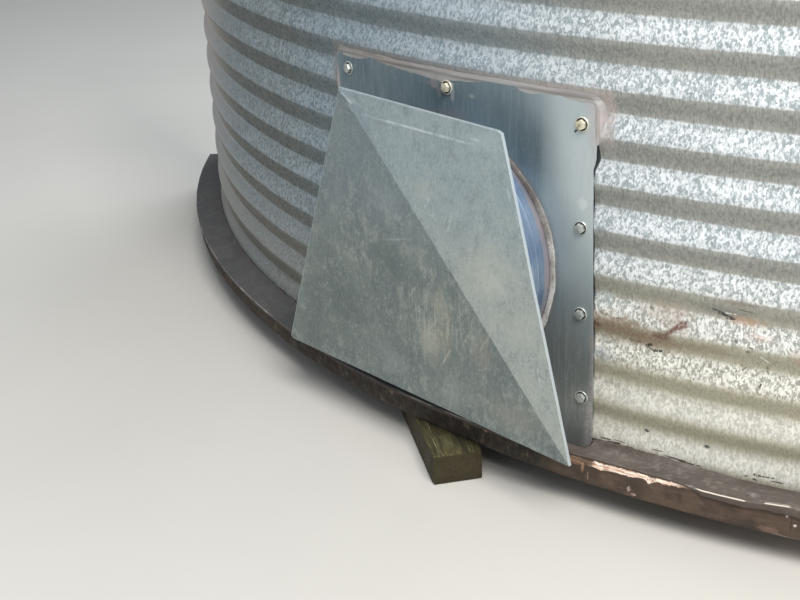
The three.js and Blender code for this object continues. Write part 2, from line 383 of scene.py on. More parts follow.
# %% Lay a finish down in coats
class Finish(Shader):
    """A material and its builder; colour is what all the coats so far add up to."""

    def __init__(self, name, **surface):
        self.material = bpy.data.materials.new(name)
        self.material.use_nodes = True
        super().__init__(self.material.node_tree)
        self.surface = self.tree.nodes["Principled BSDF"].inputs
        for label, value in surface.items():
            self.surface[label].default_value = value
        self.place = self.add("TexCoord", {}).outputs["Object"]
        self.colour = None

    def coat(self, colour, *masks):
        """Lays a colour over the coats before it, as far as all the masks let it through."""
        self.colour = self.mix(self.times(*masks), self.colour, colour)

    def patch(self, middle, reach, grain, ragged=0.8, soft=0.5):
        """Mask of a patch; its reach along X, Y and Z and its grain are in mm."""
        return self.group("Ragged patch", Middle=tuple(middle), Grain=grain * MM,
                          Reach=tuple(r * MM for r in reach), Ragged=ragged, Soft=soft)["Mask"]

    def line(self, start, end, width):
        """Mask of a straight mark, width mm wide."""
        return self.group("Line mark", Start=tuple(start), End=tuple(end),
                          Width=width * MM)["Mask"]

    def bump(self, height, strength, depth):
        values = {"Strength": strength, "Distance": depth * MM, "Height": height}
        return self.add("Bump", values).outputs[0]

    def done(self, **surface):
        """Hands the colour and the other values over to the surface."""
        self.put(self.surface["Base Color"], self.colour)
        for label, value in surface.items():
            self.put(self.surface[label], value)
        print("finish", self.material.name, "has", len(self.tree.nodes), "nodes")


# %% [markdown]
# ## Mesh helpers
#
# Nearly every piece here is a sheet or a strip that follows a path, so two helpers do most of
# the work. One turns a grid of points into a sheet. The other joins closed outlines into a
# solid strip with capped ends.

# %% Sheets and strips
def new_object(name, mesh):
    piece = bpy.data.objects.new(name, mesh)
    bpy.context.scene.collection.objects.link(piece)
    return piece


def sheet(name, points, round_rows=False, round_columns=False):
    """A sheet of four-sided faces over an array of points, rows by columns by three."""
    rows, columns = points.shape[:2]
    number = np.arange(rows * columns).reshape(rows, columns)
    if round_columns:
        number = np.hstack([number, number[:, :1]])
    if round_rows:
        number = np.vstack([number, number[:1]])
    corners = [number[:-1, :-1], number[:-1, 1:], number[1:, 1:], number[1:, :-1]]
    faces = stacked(*corners).reshape(-1, 4)
    mesh = bpy.data.meshes.new(name)
    mesh.from_pydata(points.reshape(-1, 3).tolist(), [], faces.tolist())
    mesh.update()
    print(name, "is made of", rows, "by", columns, "points")
    return new_object(name, mesh)


def strip(name, outlines, closed_path=False):
    """A solid that joins closed outlines along a path, with a face at each open end."""
    piece = sheet(name, np.array(outlines), round_rows=closed_path, round_columns=True)
    bm = bmesh.new()
    bm.from_mesh(piece.data)
    if not closed_path:
        bmesh.ops.holes_fill(bm, edges=[e for e in bm.edges if e.is_boundary], sides=0)
    bmesh.ops.recalc_face_normals(bm, faces=bm.faces)
    bm.to_mesh(piece.data)
    bm.free()
    return piece


# %% [markdown]
# A Solidify modifier gives a sheet its real thickness, and a Boolean cuts the duct's hole.
# Both are turned into plain faces at once, so that later steps see the real mesh.

# %% Thickness and holes
CUTTER_SIDES, CUTTER_LENGTH = 120, 0.2
SHARP_BEND = math.radians(50)


def bake_modifiers(piece):
    """Turns what the modifiers make into the piece's own mesh."""
    bpy.context.view_layer.update()
    made = piece.evaluated_get(bpy.context.evaluated_depsgraph_get())
    mesh = bpy.data.meshes.new_from_object(made)
    mesh.name = piece.name
    piece.modifiers.clear()
    piece.data = mesh


def thicken(piece, rounding=0.0):
    """Gives a sheet its thickness behind its face, and rounds its sharp edges."""
    solid = piece.modifiers.new("thickness", "SOLIDIFY")
    solid.thickness = SHEET
    solid.offset = -1
    solid.use_even_offset = True
    if rounding:
        edge = piece.modifiers.new("rounding", "BEVEL")
        edge.width = rounding
        edge.segments = 2
        edge.limit_method = "ANGLE"
        edge.angle_limit = SHARP_BEND
    bake_modifiers(piece)


def cut_duct_hole(piece, clearance):
    """Cuts a round hole for the duct through a sheet, a clearance wider than the duct."""
    bpy.ops.mesh.primitive_cylinder_add(
        vertices=CUTTER_SIDES, radius=DUCT_RADIUS + clearance, depth=CUTTER_LENGTH,
        location=seen(DUCT_RIGHT, 0, DUCT_UP), rotation=(math.pi / 2, 0, 0))
    cutter = bpy.context.object
    cut = piece.modifiers.new("hole", "BOOLEAN")
    cut.operation = "DIFFERENCE"
    cut.object = cutter
    bake_modifiers(piece)
    bpy.data.objects.remove(cutter)


# %% [markdown]
# No real edge is quite even. Smooth noise moves points by a millimetre or so, a bell shape
# makes single bumps and dips, and short tables say what changes along an edge.

# %% Small unevenness
def drift(points, size, seed=0.0):
    """Smooth noise from about -1 to 1 at each point, with features about size across."""
    shift = Vector((seed * 7.3, seed * 3.1, seed * 5.7))
    flat = points.reshape(-1, points.shape[-1])
    values = [noise.noise(Vector((*p, 0, 0)[:3]) / size + shift) for p in flat]
    return np.array(values).reshape(points.shape[:-1])


def bell(distance, width):
    """1 at no distance, falling off to nothing at about twice the width."""
    return np.exp(-(distance / width) ** 2)


def look_up(table, at):
    """Value at a place, from a table of places and values."""
    return np.interp(at, *zip(*table))


# %% [markdown]
# Each finished piece rides on the part's one body, and the solids it stands for are hidden.
# Edges sharper than its crease angle stay sharp.

# %% Finish a piece
def place_piece(piece, finish, nodes=(), crease=40):
    """Finishes a piece: material, smooth shading and body, and hides the nodes it stands for."""
    piece.data.materials.clear()
    piece.data.materials.append(finish.material)
    piece.data.polygons.foreach_set("use_smooth", [True] * len(piece.data.polygons))
    piece.data.set_sharp_from_angle(angle=math.radians(crease))
    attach(piece, "root")
    if nodes:
        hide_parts(*nodes)
    piece.data.calc_loop_triangles()
    print(piece.name, "has", len(piece.data.loop_triangles), "triangles")


# %% [markdown]
# ## Corrugated wall
#
# The solids follow the sheet in six flat-sided segments. The real sheet is one smooth curve,
# so one grid replaces them, with sixteen rows to each corrugation. Small dents, always
# inwards so that the plate still sits on the crests, keep the reflections from being perfect.

# %% Make the wall sheet
WALL_BOTTOM, WALL_TOP = (corner.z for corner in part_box("wall_1"))
DENT_DEPTH, DENT_SIZE = 0.9 * MM, 0.22
ROWS_PER_CREST, WALL_COLUMNS = 16, 121


def wall_radius(height):
    """Radius of the outer face of the sheet at a height."""
    wave = np.cos(2 * math.pi * (height - FOOT) / PITCH)
    return WALL_RADIUS + SHEET / 2 + CORRUGATION_DEPTH / 2 * wave


heights = np.arange(WALL_BOTTOM, WALL_TOP, PITCH / ROWS_PER_CREST)
heights = np.append(heights, WALL_TOP)[:, None]
azimuths = np.linspace(*BAY_ENDS, WALL_COLUMNS)
dents = 0.5 + 0.5 * drift(around(azimuths, wall_radius(heights), heights), DENT_SIZE)
wall = sheet("wall_sheet", around(azimuths, wall_radius(heights) - DENT_DEPTH * dents, heights))
thicken(wall)
cut_duct_hole(wall, clearance=1 * MM)

# %% [markdown]
# The sheet's colour changes in clear bands: clean, frosty zinc on the flanks that rain
# washes, and on the flanks under each crest grey-brown dirt together with painted shade and a
# painted reflection of the darker ground. Low down on the right the bands are softer. First
# come the values that say where what lies: which flank, which side of the vent, how low.

# %% Galvanised wall: where its dirt and painted shade lie
s = Finish("galvanised_wall", Metallic=0.3)
spangle = s.group("Zinc spangle", Flake_Size=0.0048, Upright=1.7, Tilt=0.1)
runs = s.group("Run marks", Width=0.006, Length=0.3)["Mark"]
threads = s.noise(0.004, (1, 1, 6))
round_silo = s.group("Round the silo")
azimuth = round_silo["Azimuth"]
_, radius, height = s.parts(round_silo["Along"])
# Left of the vent the wall is painted darker: painted shade of the side that faces away from the
# light.
left_shade, right_side = s.fade(azimuth, 14, -12), s.fade(azimuth, -4, 8)
centre = s.times(s.fade(azimuth, 10, 1), s.fade(azimuth, -16, -7))
low = s.times(s.fade(height, 0.68, 0.34), right_side)
softer = s.times(s.fade(height, FOOT + 0.3, FOOT + 0.12, 0, 0.14), right_side)
softer = s.plus(s.times(low, s.fade(azimuth, 12.5, 9, 0, 0.16)), softer)
# The flanks that face down get dirt together with painted shade and a painted reflection of the
# darker ground.
dirt_and_shade = s.group("Dirt and shade under ridges", Clean_At=s.plus(s.fade(low, 0, 1, 0.05, 0.14), softer),
                Dirty_At=s.minus(s.fade(low, 0, 1, -0.07, -0.19), softer))["Mask"]

# %% [markdown]
# Both zinc and the dark bands' tone, dirt with painted shade, are mixed from a light and a dark
# tone, by flakes or by upright threads. Then they change with the place: blue behind the hood,
# darker left of the vent as painted shade of the side that faces away from the light, and low
# on the right the dirt turns olive and the zinc creamy.

# %% Galvanised wall: its zinc, and its dirt with painted shade
flake = s.plus(s.times(spangle["Flake"], 0.7), s.times(threads, 0.3))
bright = s.fade(flake, 0.3, 0.66)
zinc = s.mix(bright, "a2adb0", "ecf0f2")
# Darker zinc left of the vent: painted shade.
zinc = s.mix(left_shade, zinc, s.mix(bright, "6a767a", "a4b0b5"))
zinc = s.mix(s.times(centre, 0.25), zinc, "8fabbd")
soft_flake = s.plus(s.times(bright, 0.35), s.times(threads, 0.65))
lowest = s.fade(height, FOOT + 0.24, FOOT + 0.1)
worn = s.blend(lowest, bright, s.fade(soft_flake, 0.2, 0.85, 0.35, 0.85))
clean = s.mix(low, zinc, s.mix(worn, "a09d8e", "f4f2e8"))
streaked = s.fade(threads, 0.36, 0.64)
# Tone of the flanks under each crest: dirt mixed with painted shade, darker still left of the
# vent.
grime_and_shade = s.mix(streaked, "83847f", "9d9d95")
grime_and_shade = s.mix(left_shade, grime_and_shade, s.mix(streaked, "404847", "505958"))
grime_and_shade = s.mix(s.times(centre, 0.35), grime_and_shade, "6f90a3")
grime_and_shade = s.mix(low, grime_and_shade, s.mix(streaked, "a7a186", "bab59c"))
grime_and_shade = s.mix(s.times(bright, 0.25), grime_and_shade, "b0afa6")
s.colour = s.mix(s.times(dirt_and_shade, 0.92), clean, grime_and_shade)
s.coat("94958e", runs, 0.14)
inner_face = s.colour

# %% [markdown]
# The other marks are single ones: pale dust at the far left, which is also a painted reflection
# of the bright ground seen at a grazing angle there, mud splashed up behind the hood, and a
# brown smear with rust, soot and bare spots right of the plate.

# %% Galvanised wall: patches
WALL_PATCHES = (
    (9.2, 290, 125, 42, 10, 0.65, "8f7359"), (11.2, 274, 90, 26, 7, 0.55, "8f755b"),
    (13.2, 281, 110, 18, 20, 0.4, "8f8061"), (11.7, 344, 80, 34, 14, 0.5, "b9a595"),
    (12.3, 322, 44, 22, 5, 0.35, "8d7266"), (11.6, 293, 26, 14, 3, 0.75, "6e5242"),
    (10.3, 262, 22, 6, 3, 0.6, "5d4634"), (14.2, 372, 70, 18, 6, 0.45, "77777a"),
    (14.9, 402, 46, 10, 4, 0.5, "7c6a5e"), (15.2, 358, 56, 15, 7, 0.55, "bd9373"),
    (15.9, 330, 40, 12, 6, 0.35, "c9a590"), (17.6, 300, 30, 24, 8, 0.4, "a08468"),
    (18.0, 300, 8, 8, 5, 0.7, "7d5038"), (10.96, 349, 7, 5, 5, 0.8, "5a5b55"),
    (15.45, 296, 6, 4, 4, 0.8, "45423a"), (16.3, 262, 5, 12, 4, 0.6, "57503c"),
    (11.0, 48, 8, 5, 5, 0.9, "2c2a28"), (13.9, 46, 11, 6, 5, 0.9, "2c2a28"),
    (8.7, 218, 48, 26, 14, 0.5, "9ba5a8"), (8.6, 346, 40, 26, 14, 0.35, "c2cfd2"),
    (-8.7, 746, 20, 44, 12, 0.5, "a19ca2"))


def on_wall(azimuth, up):
    """A point on the sheet's outer face, up mm above its lowest crest."""
    height = FOOT + up * MM
    return around(azimuth, wall_radius(height), height)


# Pale at the far left: dust, and a painted reflection of the bright ground at a grazing angle.
pale_share = s.times(s.fade(azimuth, -21, -34), s.fade(height, 0.3, 0.9, 0.4, 1.0))
s.coat("d2c8bf", pale_share, 0.75)
s.coat("8f8679", s.fade(height, FOOT + 0.42, FOOT + 0.05), s.fade(azimuth, -4, -11),
       s.fade(threads, 0.3, 0.6, 0.2, 0.5))
broken = s.fade(threads, 0.3, 0.55, 0.6, 1.0)
for azimuth_at, up, wide, high, grain, share, paint in WALL_PATCHES:
    mask = s.patch(on_wall(azimuth_at, up), (wide, wide, high), grain, 1.1, 0.7)
    s.coat(paint, mask, broken, share)
print(len(WALL_PATCHES), "patches on the wall")
specks = s.patch(on_wall(10.3, 283), (125, 125, 34), 4, 1.8, 0.6)
s.coat("634838", specks, streaked, 0.3)

# %% [markdown]
# Bitumen was brushed a little too high along the foot. Short dark strokes, scratches and a
# few bright nicks are lines: each is two points on the wall, as azimuth and height, and a
# width in mm.

# %% Galvanised wall: brushed bitumen and strokes
WALL_LINES = {
    "443d39": ((8.69, 4.1, 9.37, 6.2, 2.5), (9.06, -0.7, 9.89, 3.6, 3.5), (9.4, 9, 10.1, 8, 1.5),
               (11.34, 11, 11.97, 12, 1.8), (11.94, 4.7, 13.25, 2.2, 2.4),
               (12.6, 0.5, 13.9, 0, 2.5), (15.73, 3.6, 15.91, 3.4, 2.5),
               (16.09, 11.2, 16.5, 10, 4), (16.4, 10, 17.14, 11.8, 2.2),
               (16.09, 0.8, 16.36, -1.9, 3), (16.88, 4.4, 17.53, 4.9, 2.2),
               (14.29, 357, 14.8, 359, 3)),
    "7b5e52": ((11.9, 303, 12.4, 328, 7), (12.25, 317, 12.75, 329, 6), (12.3, 329, 12.7, 333, 5),
               (11.6, 291, 12.1, 313, 6), (11.1, 292, 11.8, 284, 6), (8.1, 295, 8.55, 278, 9)),
    "2f2d24": ((10.7, 254, 11.1, 265, 6), (11.1, 249, 11.6, 252, 4.5), (9.93, 268, 10.13, 250, 2),
               (14.85, 315, 15.0, 314, 5), (15.45, 308, 15.7, 305, 2.5)),
    "4d4535": ((16.45, 274, 16.05, 240, 2), (15.16, 261, 15.26, 243, 2.5),
               (15.43, 257, 15.22, 246, 2), (16.12, 229, 16.05, 218, 3),
               (10.85, 256, 11.25, 245, 2.5), (14.8, 387, 15.6, 382, 2)),
    "3f4044": ((13.68, 377, 14.4, 367, 3.5), (13.9, 369, 14.75, 360, 4.5)),
    "eff1ee": ((14.25, 371, 14.85, 371, 2.5), (15.7, 340, 16.25, 335, 4),
               (15.95, 291, 16.45, 274, 2))}

brushed = s.noise(0.03, (1.5, 1.5, 0.09), 4)
brushed = s.plus(brushed, s.fade(height, FOOT + 0.012, FOOT - 0.006, 0.0, 0.3))
s.coat("5b5350", s.fade(brushed, 0.74, 0.8), s.fade(height, FOOT + 0.018, FOOT + 0.012),
       s.fade(azimuth, 13.4, 12.8))
broken = s.fade(threads, 0.28, 0.5)
for paint, lines in WALL_LINES.items():
    for *ends, width in lines:
        s.coat(paint, s.line(on_wall(*ends[:2]), on_wall(*ends[2:]), width), broken)

# %% [markdown]
# Sealant was smeared past the plate's upper edge onto the wall. Down the plate's right side the
# shadow in the gap, where its bent edge stands off each valley, is painted dark: it follows the
# edge's lean and is wider in the hollows. The face inside the silo has none of these marks and
# stays plain.

# %% Galvanised wall: smear, painted gap shadow and inner face
smear = s.times(s.fade(azimuth, 9.15, 8.75), s.fade(azimuth, -8.9, -8.4),
                s.fade(height, PLATE_TOP + 0.026, PLATE_TOP + 0.01),
                s.fade(height, PLATE_TOP - 0.13, PLATE_TOP - 0.07),
                s.fade(threads, 0.3, 0.6, 0.35, 0.75))
# The smear is painted darker left of the vent: painted shade.
s.coat(s.mix(left_shade, "c4b7b1", "8d8583"), smear)
# A painted shadow in the gap beside the plate's right edge.
wander = s.minus(s.noise(0.04), 0.5)
hollow = s.times(s.fade(radius, CREST, CREST - CORRUGATION_DEPTH),
                 s.fade(height, FOOT + 0.6, FOOT + 0.66, -0.09, 0.03))
lean = s.times(s.fade(height, FOOT + 0.64, FOOT + 0.1, -0.125, 0.125),
               s.fade(height, FOOT + 0.662, FOOT + 0.64))
gap_end = s.plus(s.plus(s.plus(PLATE_SIDE + 0.01, lean), hollow), s.times(wander, 0.12))
past = s.minus(azimuth, gap_end)
s.coat("2b2f36", s.fade(past, 0.03, -0.02), s.fade(azimuth, 7.6, 7.9),
       s.fade(height, FOOT + 0.705, FOOT + 0.69), s.fade(height, FOOT + 0.1, FOOT + 0.3, 0.45),
       0.92)
outward = s.vector("SUBTRACT", s.place, (SILO_AXIS.x, SILO_AXIS.y, 0.0))
outward = s.vector("NORMALIZE", s.vector("MULTIPLY", outward, (1, 1, 0)))
outside = s.vector("DOT_PRODUCT", outward, s.normal("True Normal"))
s.colour = s.mix(s.fade(outside, -0.05, 0.05), inner_face, s.colour)
rough = s.math("MAXIMUM", s.fade(spangle["Flake"], 0.2, 0.8, 0.4, 0.6), s.times(dirt_and_shade, 0.7))
s.done(Roughness=rough, Metallic=s.fade(dirt_and_shade, 0.0, 1.0, 0.3, 0.08), Normal=spangle["Normal"])
place_piece(wall, s, [f"wall_{i}" for i in range(1, 7)], crease=60)

# %% [markdown]
# ## Vent plate
#
# The plate is a flat square of thin steel that was pulled round the crests by its bolts. It
# touches only the crests, and its right edge leans a little. The corners come out of the grid
# itself: rows near the top and the bottom are shorter, by the amount that a quarter circle
# takes off.

# %% Shape the vent plate's outline
PLATE_BOTTOM = FOOT - 32 * MM
PLATE_CORNER = 24 * MM
PLATE_ROWS, PLATE_COLUMNS, CORNER_ROWS = 98, 101, 9
EDGE_WAVE, EDGE_WAVE_SIZE = 1.6 * MM, 0.045
RIGHT_EDGE = ((-32, 6), (100, 6), (300, 2), (500, -4), (640, -6), (662, 0), (792, 0))

corner_rows = PLATE_CORNER * (1 - np.cos(np.linspace(0, math.pi / 2, CORNER_ROWS)))
plain_rows = np.linspace(PLATE_BOTTOM, PLATE_TOP, PLATE_ROWS)[4:-4]
rows = np.concatenate([PLATE_BOTTOM + corner_rows, plain_rows,
                       (PLATE_TOP - corner_rows)[::-1]])[:, None]
to_end = np.minimum(rows - PLATE_BOTTOM, PLATE_TOP - rows)
missing = np.clip(PLATE_CORNER - to_end, 0, None)
half = PLATE_HALF - PLATE_CORNER + np.sqrt(np.clip(PLATE_CORNER ** 2 - missing ** 2, 0, None))
half = half - EDGE_WAVE * np.abs(drift(stacked(rows, rows), EDGE_WAVE_SIZE, 4))
across = np.linspace(-1, 1, PLATE_COLUMNS)
lean = look_up(RIGHT_EDGE, (rows - FOOT) / MM) * MM
arcs = across * half + lean * np.clip(across, 0, None) ** 6
print("plate is", round(2 * PLATE_HALF, 3), "by", round(PLATE_TOP - PLATE_BOTTOM, 3), "m")

# %% [markdown]
# Thin sheet ripples. It stands off a little between the bolts, most of all along its sides,
# and is held down close to each bolt.

# %% Bend the vent plate
BOLTS = ((-347, 752), (-2, 761), (358, 733), (360, 504), (364, 302), (371, 95),
         (-361, 505), (-368, 302), (-373, 98))
RIPPLE, RIPPLE_SIZE = 1.1 * MM, 0.11
SIDE_LIFT, SIDE_WIDTH = 1.6 * MM, 0.02
BOLT_REACH = 0.035

ripple = drift(stacked(arcs, rows), RIPPLE_SIZE, 2)
lift = RIPPLE * np.clip(ripple + 0.35, 0, None)
lift = lift + SIDE_LIFT * bell(PLATE_HALF - np.abs(arcs), SIDE_WIDTH) * (0.5 + ripple)
for right, up in BOLTS:
    to_bolt = np.hypot(arcs - right * MM, rows - FOOT - up * MM)
    lift = lift * (1 - bell(to_bolt, BOLT_REACH))
bent = around(np.degrees(arcs / CREST), PLATE_FACE + np.clip(lift, 0, None), rows)
plate = sheet("vent_plate_bent", bent)
thicken(plate)
cut_duct_hole(plate, clearance=0.3 * MM)

# %% [markdown]
# This sheet is smoother than the wall and has no clear flakes. It has weathered to slate
# blue, with fine upright brush marks. Towards the top right corner and down its right side it is
# painted paler, a painted reflection of bright surroundings, and low down it is painted darker,
# a painted reflection of the darker ground.

# %% Plate material: weathered zinc
s = Finish("plate_steel", Metallic=0.6, Roughness=0.4)
runs = s.group("Run marks", Width=0.005, Length=0.25)["Mark"]
cloudy = s.noise(0.16, (1, 1, 1.8), 4)
fine = s.noise(0.004, (1, 1, 14))
specks = s.noise(0.007, detail=5, roughness=0.7)
x, _, height = s.parts(s.place)
right = s.plus(s.minus(x, SILO_AXIS.x), s.times(s.minus(cloudy, 0.5), 0.12))
s.colour = s.mix(s.fade(cloudy, 0.3, 0.7), "687c83", "7e9299")
# Darker low down: a painted reflection of the darker ground.
s.coat("6d6f68", s.fade(height, FOOT + 0.42, FOOT + 0.2))
s.coat("93a2ad", runs, 0.25)
# Paler to the right and at the top right: a painted reflection of bright surroundings.
s.coat("cfd9da", s.fade(right, 0.2, 0.35), s.fade(height, FOOT + 0.12, FOOT + 0.6, 0.12, 1.0))
s.coat("b4c1c6", s.fade(right, 0.08, 0.34), s.fade(height, FOOT + 0.66, FOOT + 0.76), 0.5)
s.coat("b3bfc4", s.fade(fine, 0.45, 0.75, 0.0, 0.25))
s.coat("c5ced0", s.fade(specks, 0.56, 0.7, 0.0, 0.3))

# %% [markdown]
# Fingers left sealant on the plate: blobs by the top bolt, smears round the collar and along
# the right edge. Each patch is its middle as seen from outside and its reach, all in mm, with
# its share and colour. Its reach out of the vent is long, so that it goes through the sheet.

# %% Plate material: sealant and worn edges
THROUGH = 300
PLATE_PATCHES = (
    (-42, 764, 24, 15, 0.8, "a8a7a7"), (14, 750, 7, 30, 0.85, "bcc3c4"),
    (-24, 748, 12, 14, 0.7, "a2a09f"), (72, 752, 9, 7, 0.8, "b4b8b8"),
    (-10, 772, 16, 14, 0.8, "a19c98"), (25, 706, 60, 12, 0.45, "8f9196"),
    (362, 560, 14, 18, 0.6, "e9f0ee"), (350, 470, 9, 8, 0.4, "c3cbc8"),
    (362, 90, 30, 46, 0.3, "a9aca4"))


def coat_patches(s, patches, grain, ragged=0.8, soft=0.5, masks=()):
    """Lays patches over a finish of the vent."""
    for right, up, wide, high, share, paint in patches:
        mask = s.patch(seen(right, 0, up), (wide, THROUGH, high), grain, ragged, soft)
        s.coat(paint, mask, *masks, share)


coat_patches(s, PLATE_PATCHES, 10)
drip = [around(7.08, PLATE_FACE, FOOT + 0.712), around(7.3, PLATE_FACE, FOOT + 0.726)]
s.coat("3c4244", s.line(*drip, 3))
from_duct = s.vector("SUBTRACT", s.place, tuple(seen(DUCT_RIGHT, 0, DUCT_UP)))
from_duct = s.vector("LENGTH", s.vector("MULTIPLY", from_duct, (1, 0, 1)))
s.coat("8f8a86", s.fade(from_duct, DUCT_RADIUS + 0.032, DUCT_RADIUS + 0.012),
       s.fade(specks, 0.35, 0.6, 0.2, 0.8))
s.coat("ccc4c3", s.fade(right, 0.374, 0.392), s.fade(specks, 0.25, 0.6), 0.6)
s.coat("c9cfce", s.group("Worn edges", Grain=0.02)["Mask"], 0.7)
s.done(Roughness=s.fade(cloudy, 0.2, 0.8, 0.42, 0.58), Normal=s.bump(fine, 0.25, 0.6))
place_piece(plate, s, ["vent_plate"])

# %% [markdown]
# ## Duct collar
#
# The collar is a rolled band, so a profile turned round the duct's axis makes it. Two shallow
# swages stiffen it in front of the plate, and its mouth is rolled over.

# %% Make the duct collar
DUCT_MOUTH = 61 * MM
DUCT_INNER_END = 140 * MM
BAND = 1.6 * MM
SWAGES, SWAGE_WIDTH, SWAGE_HEIGHT = (27, 44), 2.2 * MM, 1.1 * MM
COLLAR_STEPS = 144


def round_duct(angle, radius, out):
    """Points round the duct's axis; out is the distance in front of the crests."""
    x = SILO_AXIS.x + DUCT_RIGHT * MM + radius * np.cos(angle)
    z = FOOT + DUCT_UP * MM + radius * np.sin(angle)
    return stacked(x, SILO_AXIS.y - CREST - out, z)


out = np.concatenate([np.linspace(-DUCT_INNER_END, 5 * MM, 20), np.linspace(6, 59, 54) * MM])
swages = sum(bell(out - at * MM, SWAGE_WIDTH) for at in SWAGES)
band = DUCT_RADIUS - 0.4 * MM + SWAGE_HEIGHT * swages
lip = [(DUCT_RADIUS + 1.1 * MM, DUCT_MOUTH - 1 * MM), (DUCT_RADIUS + 0.6 * MM, DUCT_MOUTH),
       (DUCT_RADIUS - 1.4 * MM, DUCT_MOUTH)]
profile = np.array([*zip(band, out), *lip, *zip(band[::-1] - BAND, out[::-1])])
angles = np.linspace(0, 2 * math.pi, COLLAR_STEPS, endpoint=False)[:, None]
collar = strip("duct_collar_rolled", round_duct(angles, profile[:, 0], profile[:, 1]), True)

# %% [markdown]
# The collar is younger zinc than the plate: smoother and still shiny. Its blue is a painted
# reflection of the blue sky. Sealant has smeared over its foot.

# %% Collar material
s = Finish("collar_steel", Metallic=0.6, Roughness=0.35)
cloudy, fine = s.noise(0.09, detail=4), s.noise(0.003)
# The blue base tones are a painted reflection of the blue sky.
s.colour = s.mix(s.fade(cloudy, 0.3, 0.7), "758ba8", "99acc3")
s.coat("d2dae6", s.fade(fine, 0.5, 0.8, 0.0, 0.2))
out = s.minus(SILO_AXIS.y - CREST, s.parts(s.place)["Y"])
s.coat("b5aaad", s.fade(out, 0.009, 0.004), s.fade(cloudy, 0.3, 0.6, 0.45, 0.85))
s.done(Roughness=s.fade(cloudy, 0.2, 0.8, 0.3, 0.48), Normal=s.bump(fine, 0.15, 0.5))
place_piece(collar, s, ["duct_collar"], crease=50)

# %% [markdown]
# ## Sealant
#
# The joint round the collar and the plate's upper edges are sealed with mastic, pressed on by
# hand. Each strip is a low bump whose width and height wander. The one round the collar
# stands on the bent plate, so its foot follows the plate's curve. It is narrower at the top.

# %% Make the bead round the collar
BEAD_STEPS, BEAD_POINTS = 420, 12
BEAD_WIDTH, BEAD_HEIGHT = 15, 2.8
DOME = 0.5 - 0.5 * np.cos(np.linspace(0, math.pi, BEAD_POINTS))
RISE = np.sin(np.linspace(math.pi, 0, BEAD_POINTS)) ** 0.7


def on_plate(x):
    """Distance in front of the crests of the plate's face, x metres right of the vent."""
    return np.sqrt(PLATE_FACE ** 2 - x ** 2) - CREST


angles = np.linspace(0, 2 * math.pi, BEAD_STEPS, endpoint=False)
ring = stacked(np.cos(angles), np.sin(angles)) * DUCT_RADIUS
widths = BEAD_WIDTH + 4 * drift(ring, 0.06, 1) + 2 * drift(ring, 0.017, 4)
widths = widths * (1 - 0.4 * bell(np.degrees(angles) - 92, 24)) * MM
heights = (BEAD_HEIGHT + 1.2 * drift(ring, 0.03, 5)) * MM
outlines = []
for angle, width, height in zip(angles, widths, heights):
    across = DOME * width
    spots = stacked(ring[0, 0] + across * 3, angle)
    over = RISE * height * (1 + 0.35 * drift(spots, 0.02, 6))
    radius = np.append(DUCT_RADIUS - 0.2 * MM + across, [DUCT_RADIUS + across[-1] * 0.5])
    x = DUCT_RIGHT * MM + radius * math.cos(angle)
    outlines.append(round_duct(angle, radius, np.append(over, 0.0) + on_plate(x) + 0.1 * MM))
bead = strip("collar_bead", outlines, True)

# %% [markdown]
# The strips on the plate's edge lie half on the plate and half on the corrugated wall behind
# it, so each outline starts on the plate's face and ends on the sheet. First comes the path:
# along the top edge, round a corner and down a side.

# %% Follow the plate's edge
SEAL_STEPS, SEAL_POINTS, SEAL_STEP = 130, 16, 3 * MM


def edge_points(side, start, end, foot):
    """Places along the plate's top edge from arc start to end, round its corner and down its
    side: each is an arc, a height, and the way out from the edge."""
    points = [(arc, PLATE_TOP, 0, 1) for arc in np.linspace(start, end, SEAL_STEPS)]
    middle = side * (PLATE_HALF - PLATE_CORNER)
    for angle in np.linspace(0, math.pi / 2, CORNER_ROWS)[1:]:
        across, up = side * math.sin(angle), math.cos(angle)
        points.append((middle + PLATE_CORNER * across,
                       PLATE_TOP - PLATE_CORNER * (1 - up), across, up))
    down = np.arange(PLATE_TOP - PLATE_CORNER - SEAL_STEP, foot, -SEAL_STEP)
    return np.array(points + [(side * PLATE_HALF, z, side, 0) for z in down])


def edge_seal(name, points, cover, spill, height):
    """Sealant smeared along an edge; cover and spill are its widths on plate and wall, mm."""
    outlines = []
    wander = drift(points[:, :2], 0.05, 3) + 0.6 * drift(points[:, :2], 0.016, 7)
    for (arc, z, out_arc, out_z), covers, spills, shift in zip(points, cover, spill, wander):
        t = np.linspace(-(covers + shift) * MM, (spills + 2.5 * shift) * MM, SEAL_POINTS)
        arcs, zs = arc + t * out_arc, z + t * out_z
        streaks = drift(stacked(0.3 * (arc + z), t * 4), 0.012, 5)
        crown = np.sin(np.linspace(0, math.pi, SEAL_POINTS)) ** 0.4
        crown = crown * (height + 0.06 * streaks) * MM
        sink = np.clip(t / t[-1], 0, 1) ** 1.5
        base = np.where(t < 1.5 * MM, PLATE_FACE, wall_radius(zs))
        top = np.maximum(PLATE_FACE + (wall_radius(zs) - PLATE_FACE) * sink, base) + crown
        under = slice(-3, 1, -3)
        radius = np.append(top, base[under] - 0.2 * MM)
        arcs, zs = np.append(arcs, arcs[under]), np.append(zs, zs[under])
        outlines.append(around(np.degrees(arcs / CREST), radius, zs))
    return strip(name, outlines)


# %% [markdown]
# The right strip runs along the whole top edge, with a thumb's width of mastic at the bolt,
# and thins out down the side. The left one covers only its corner and the side below it.

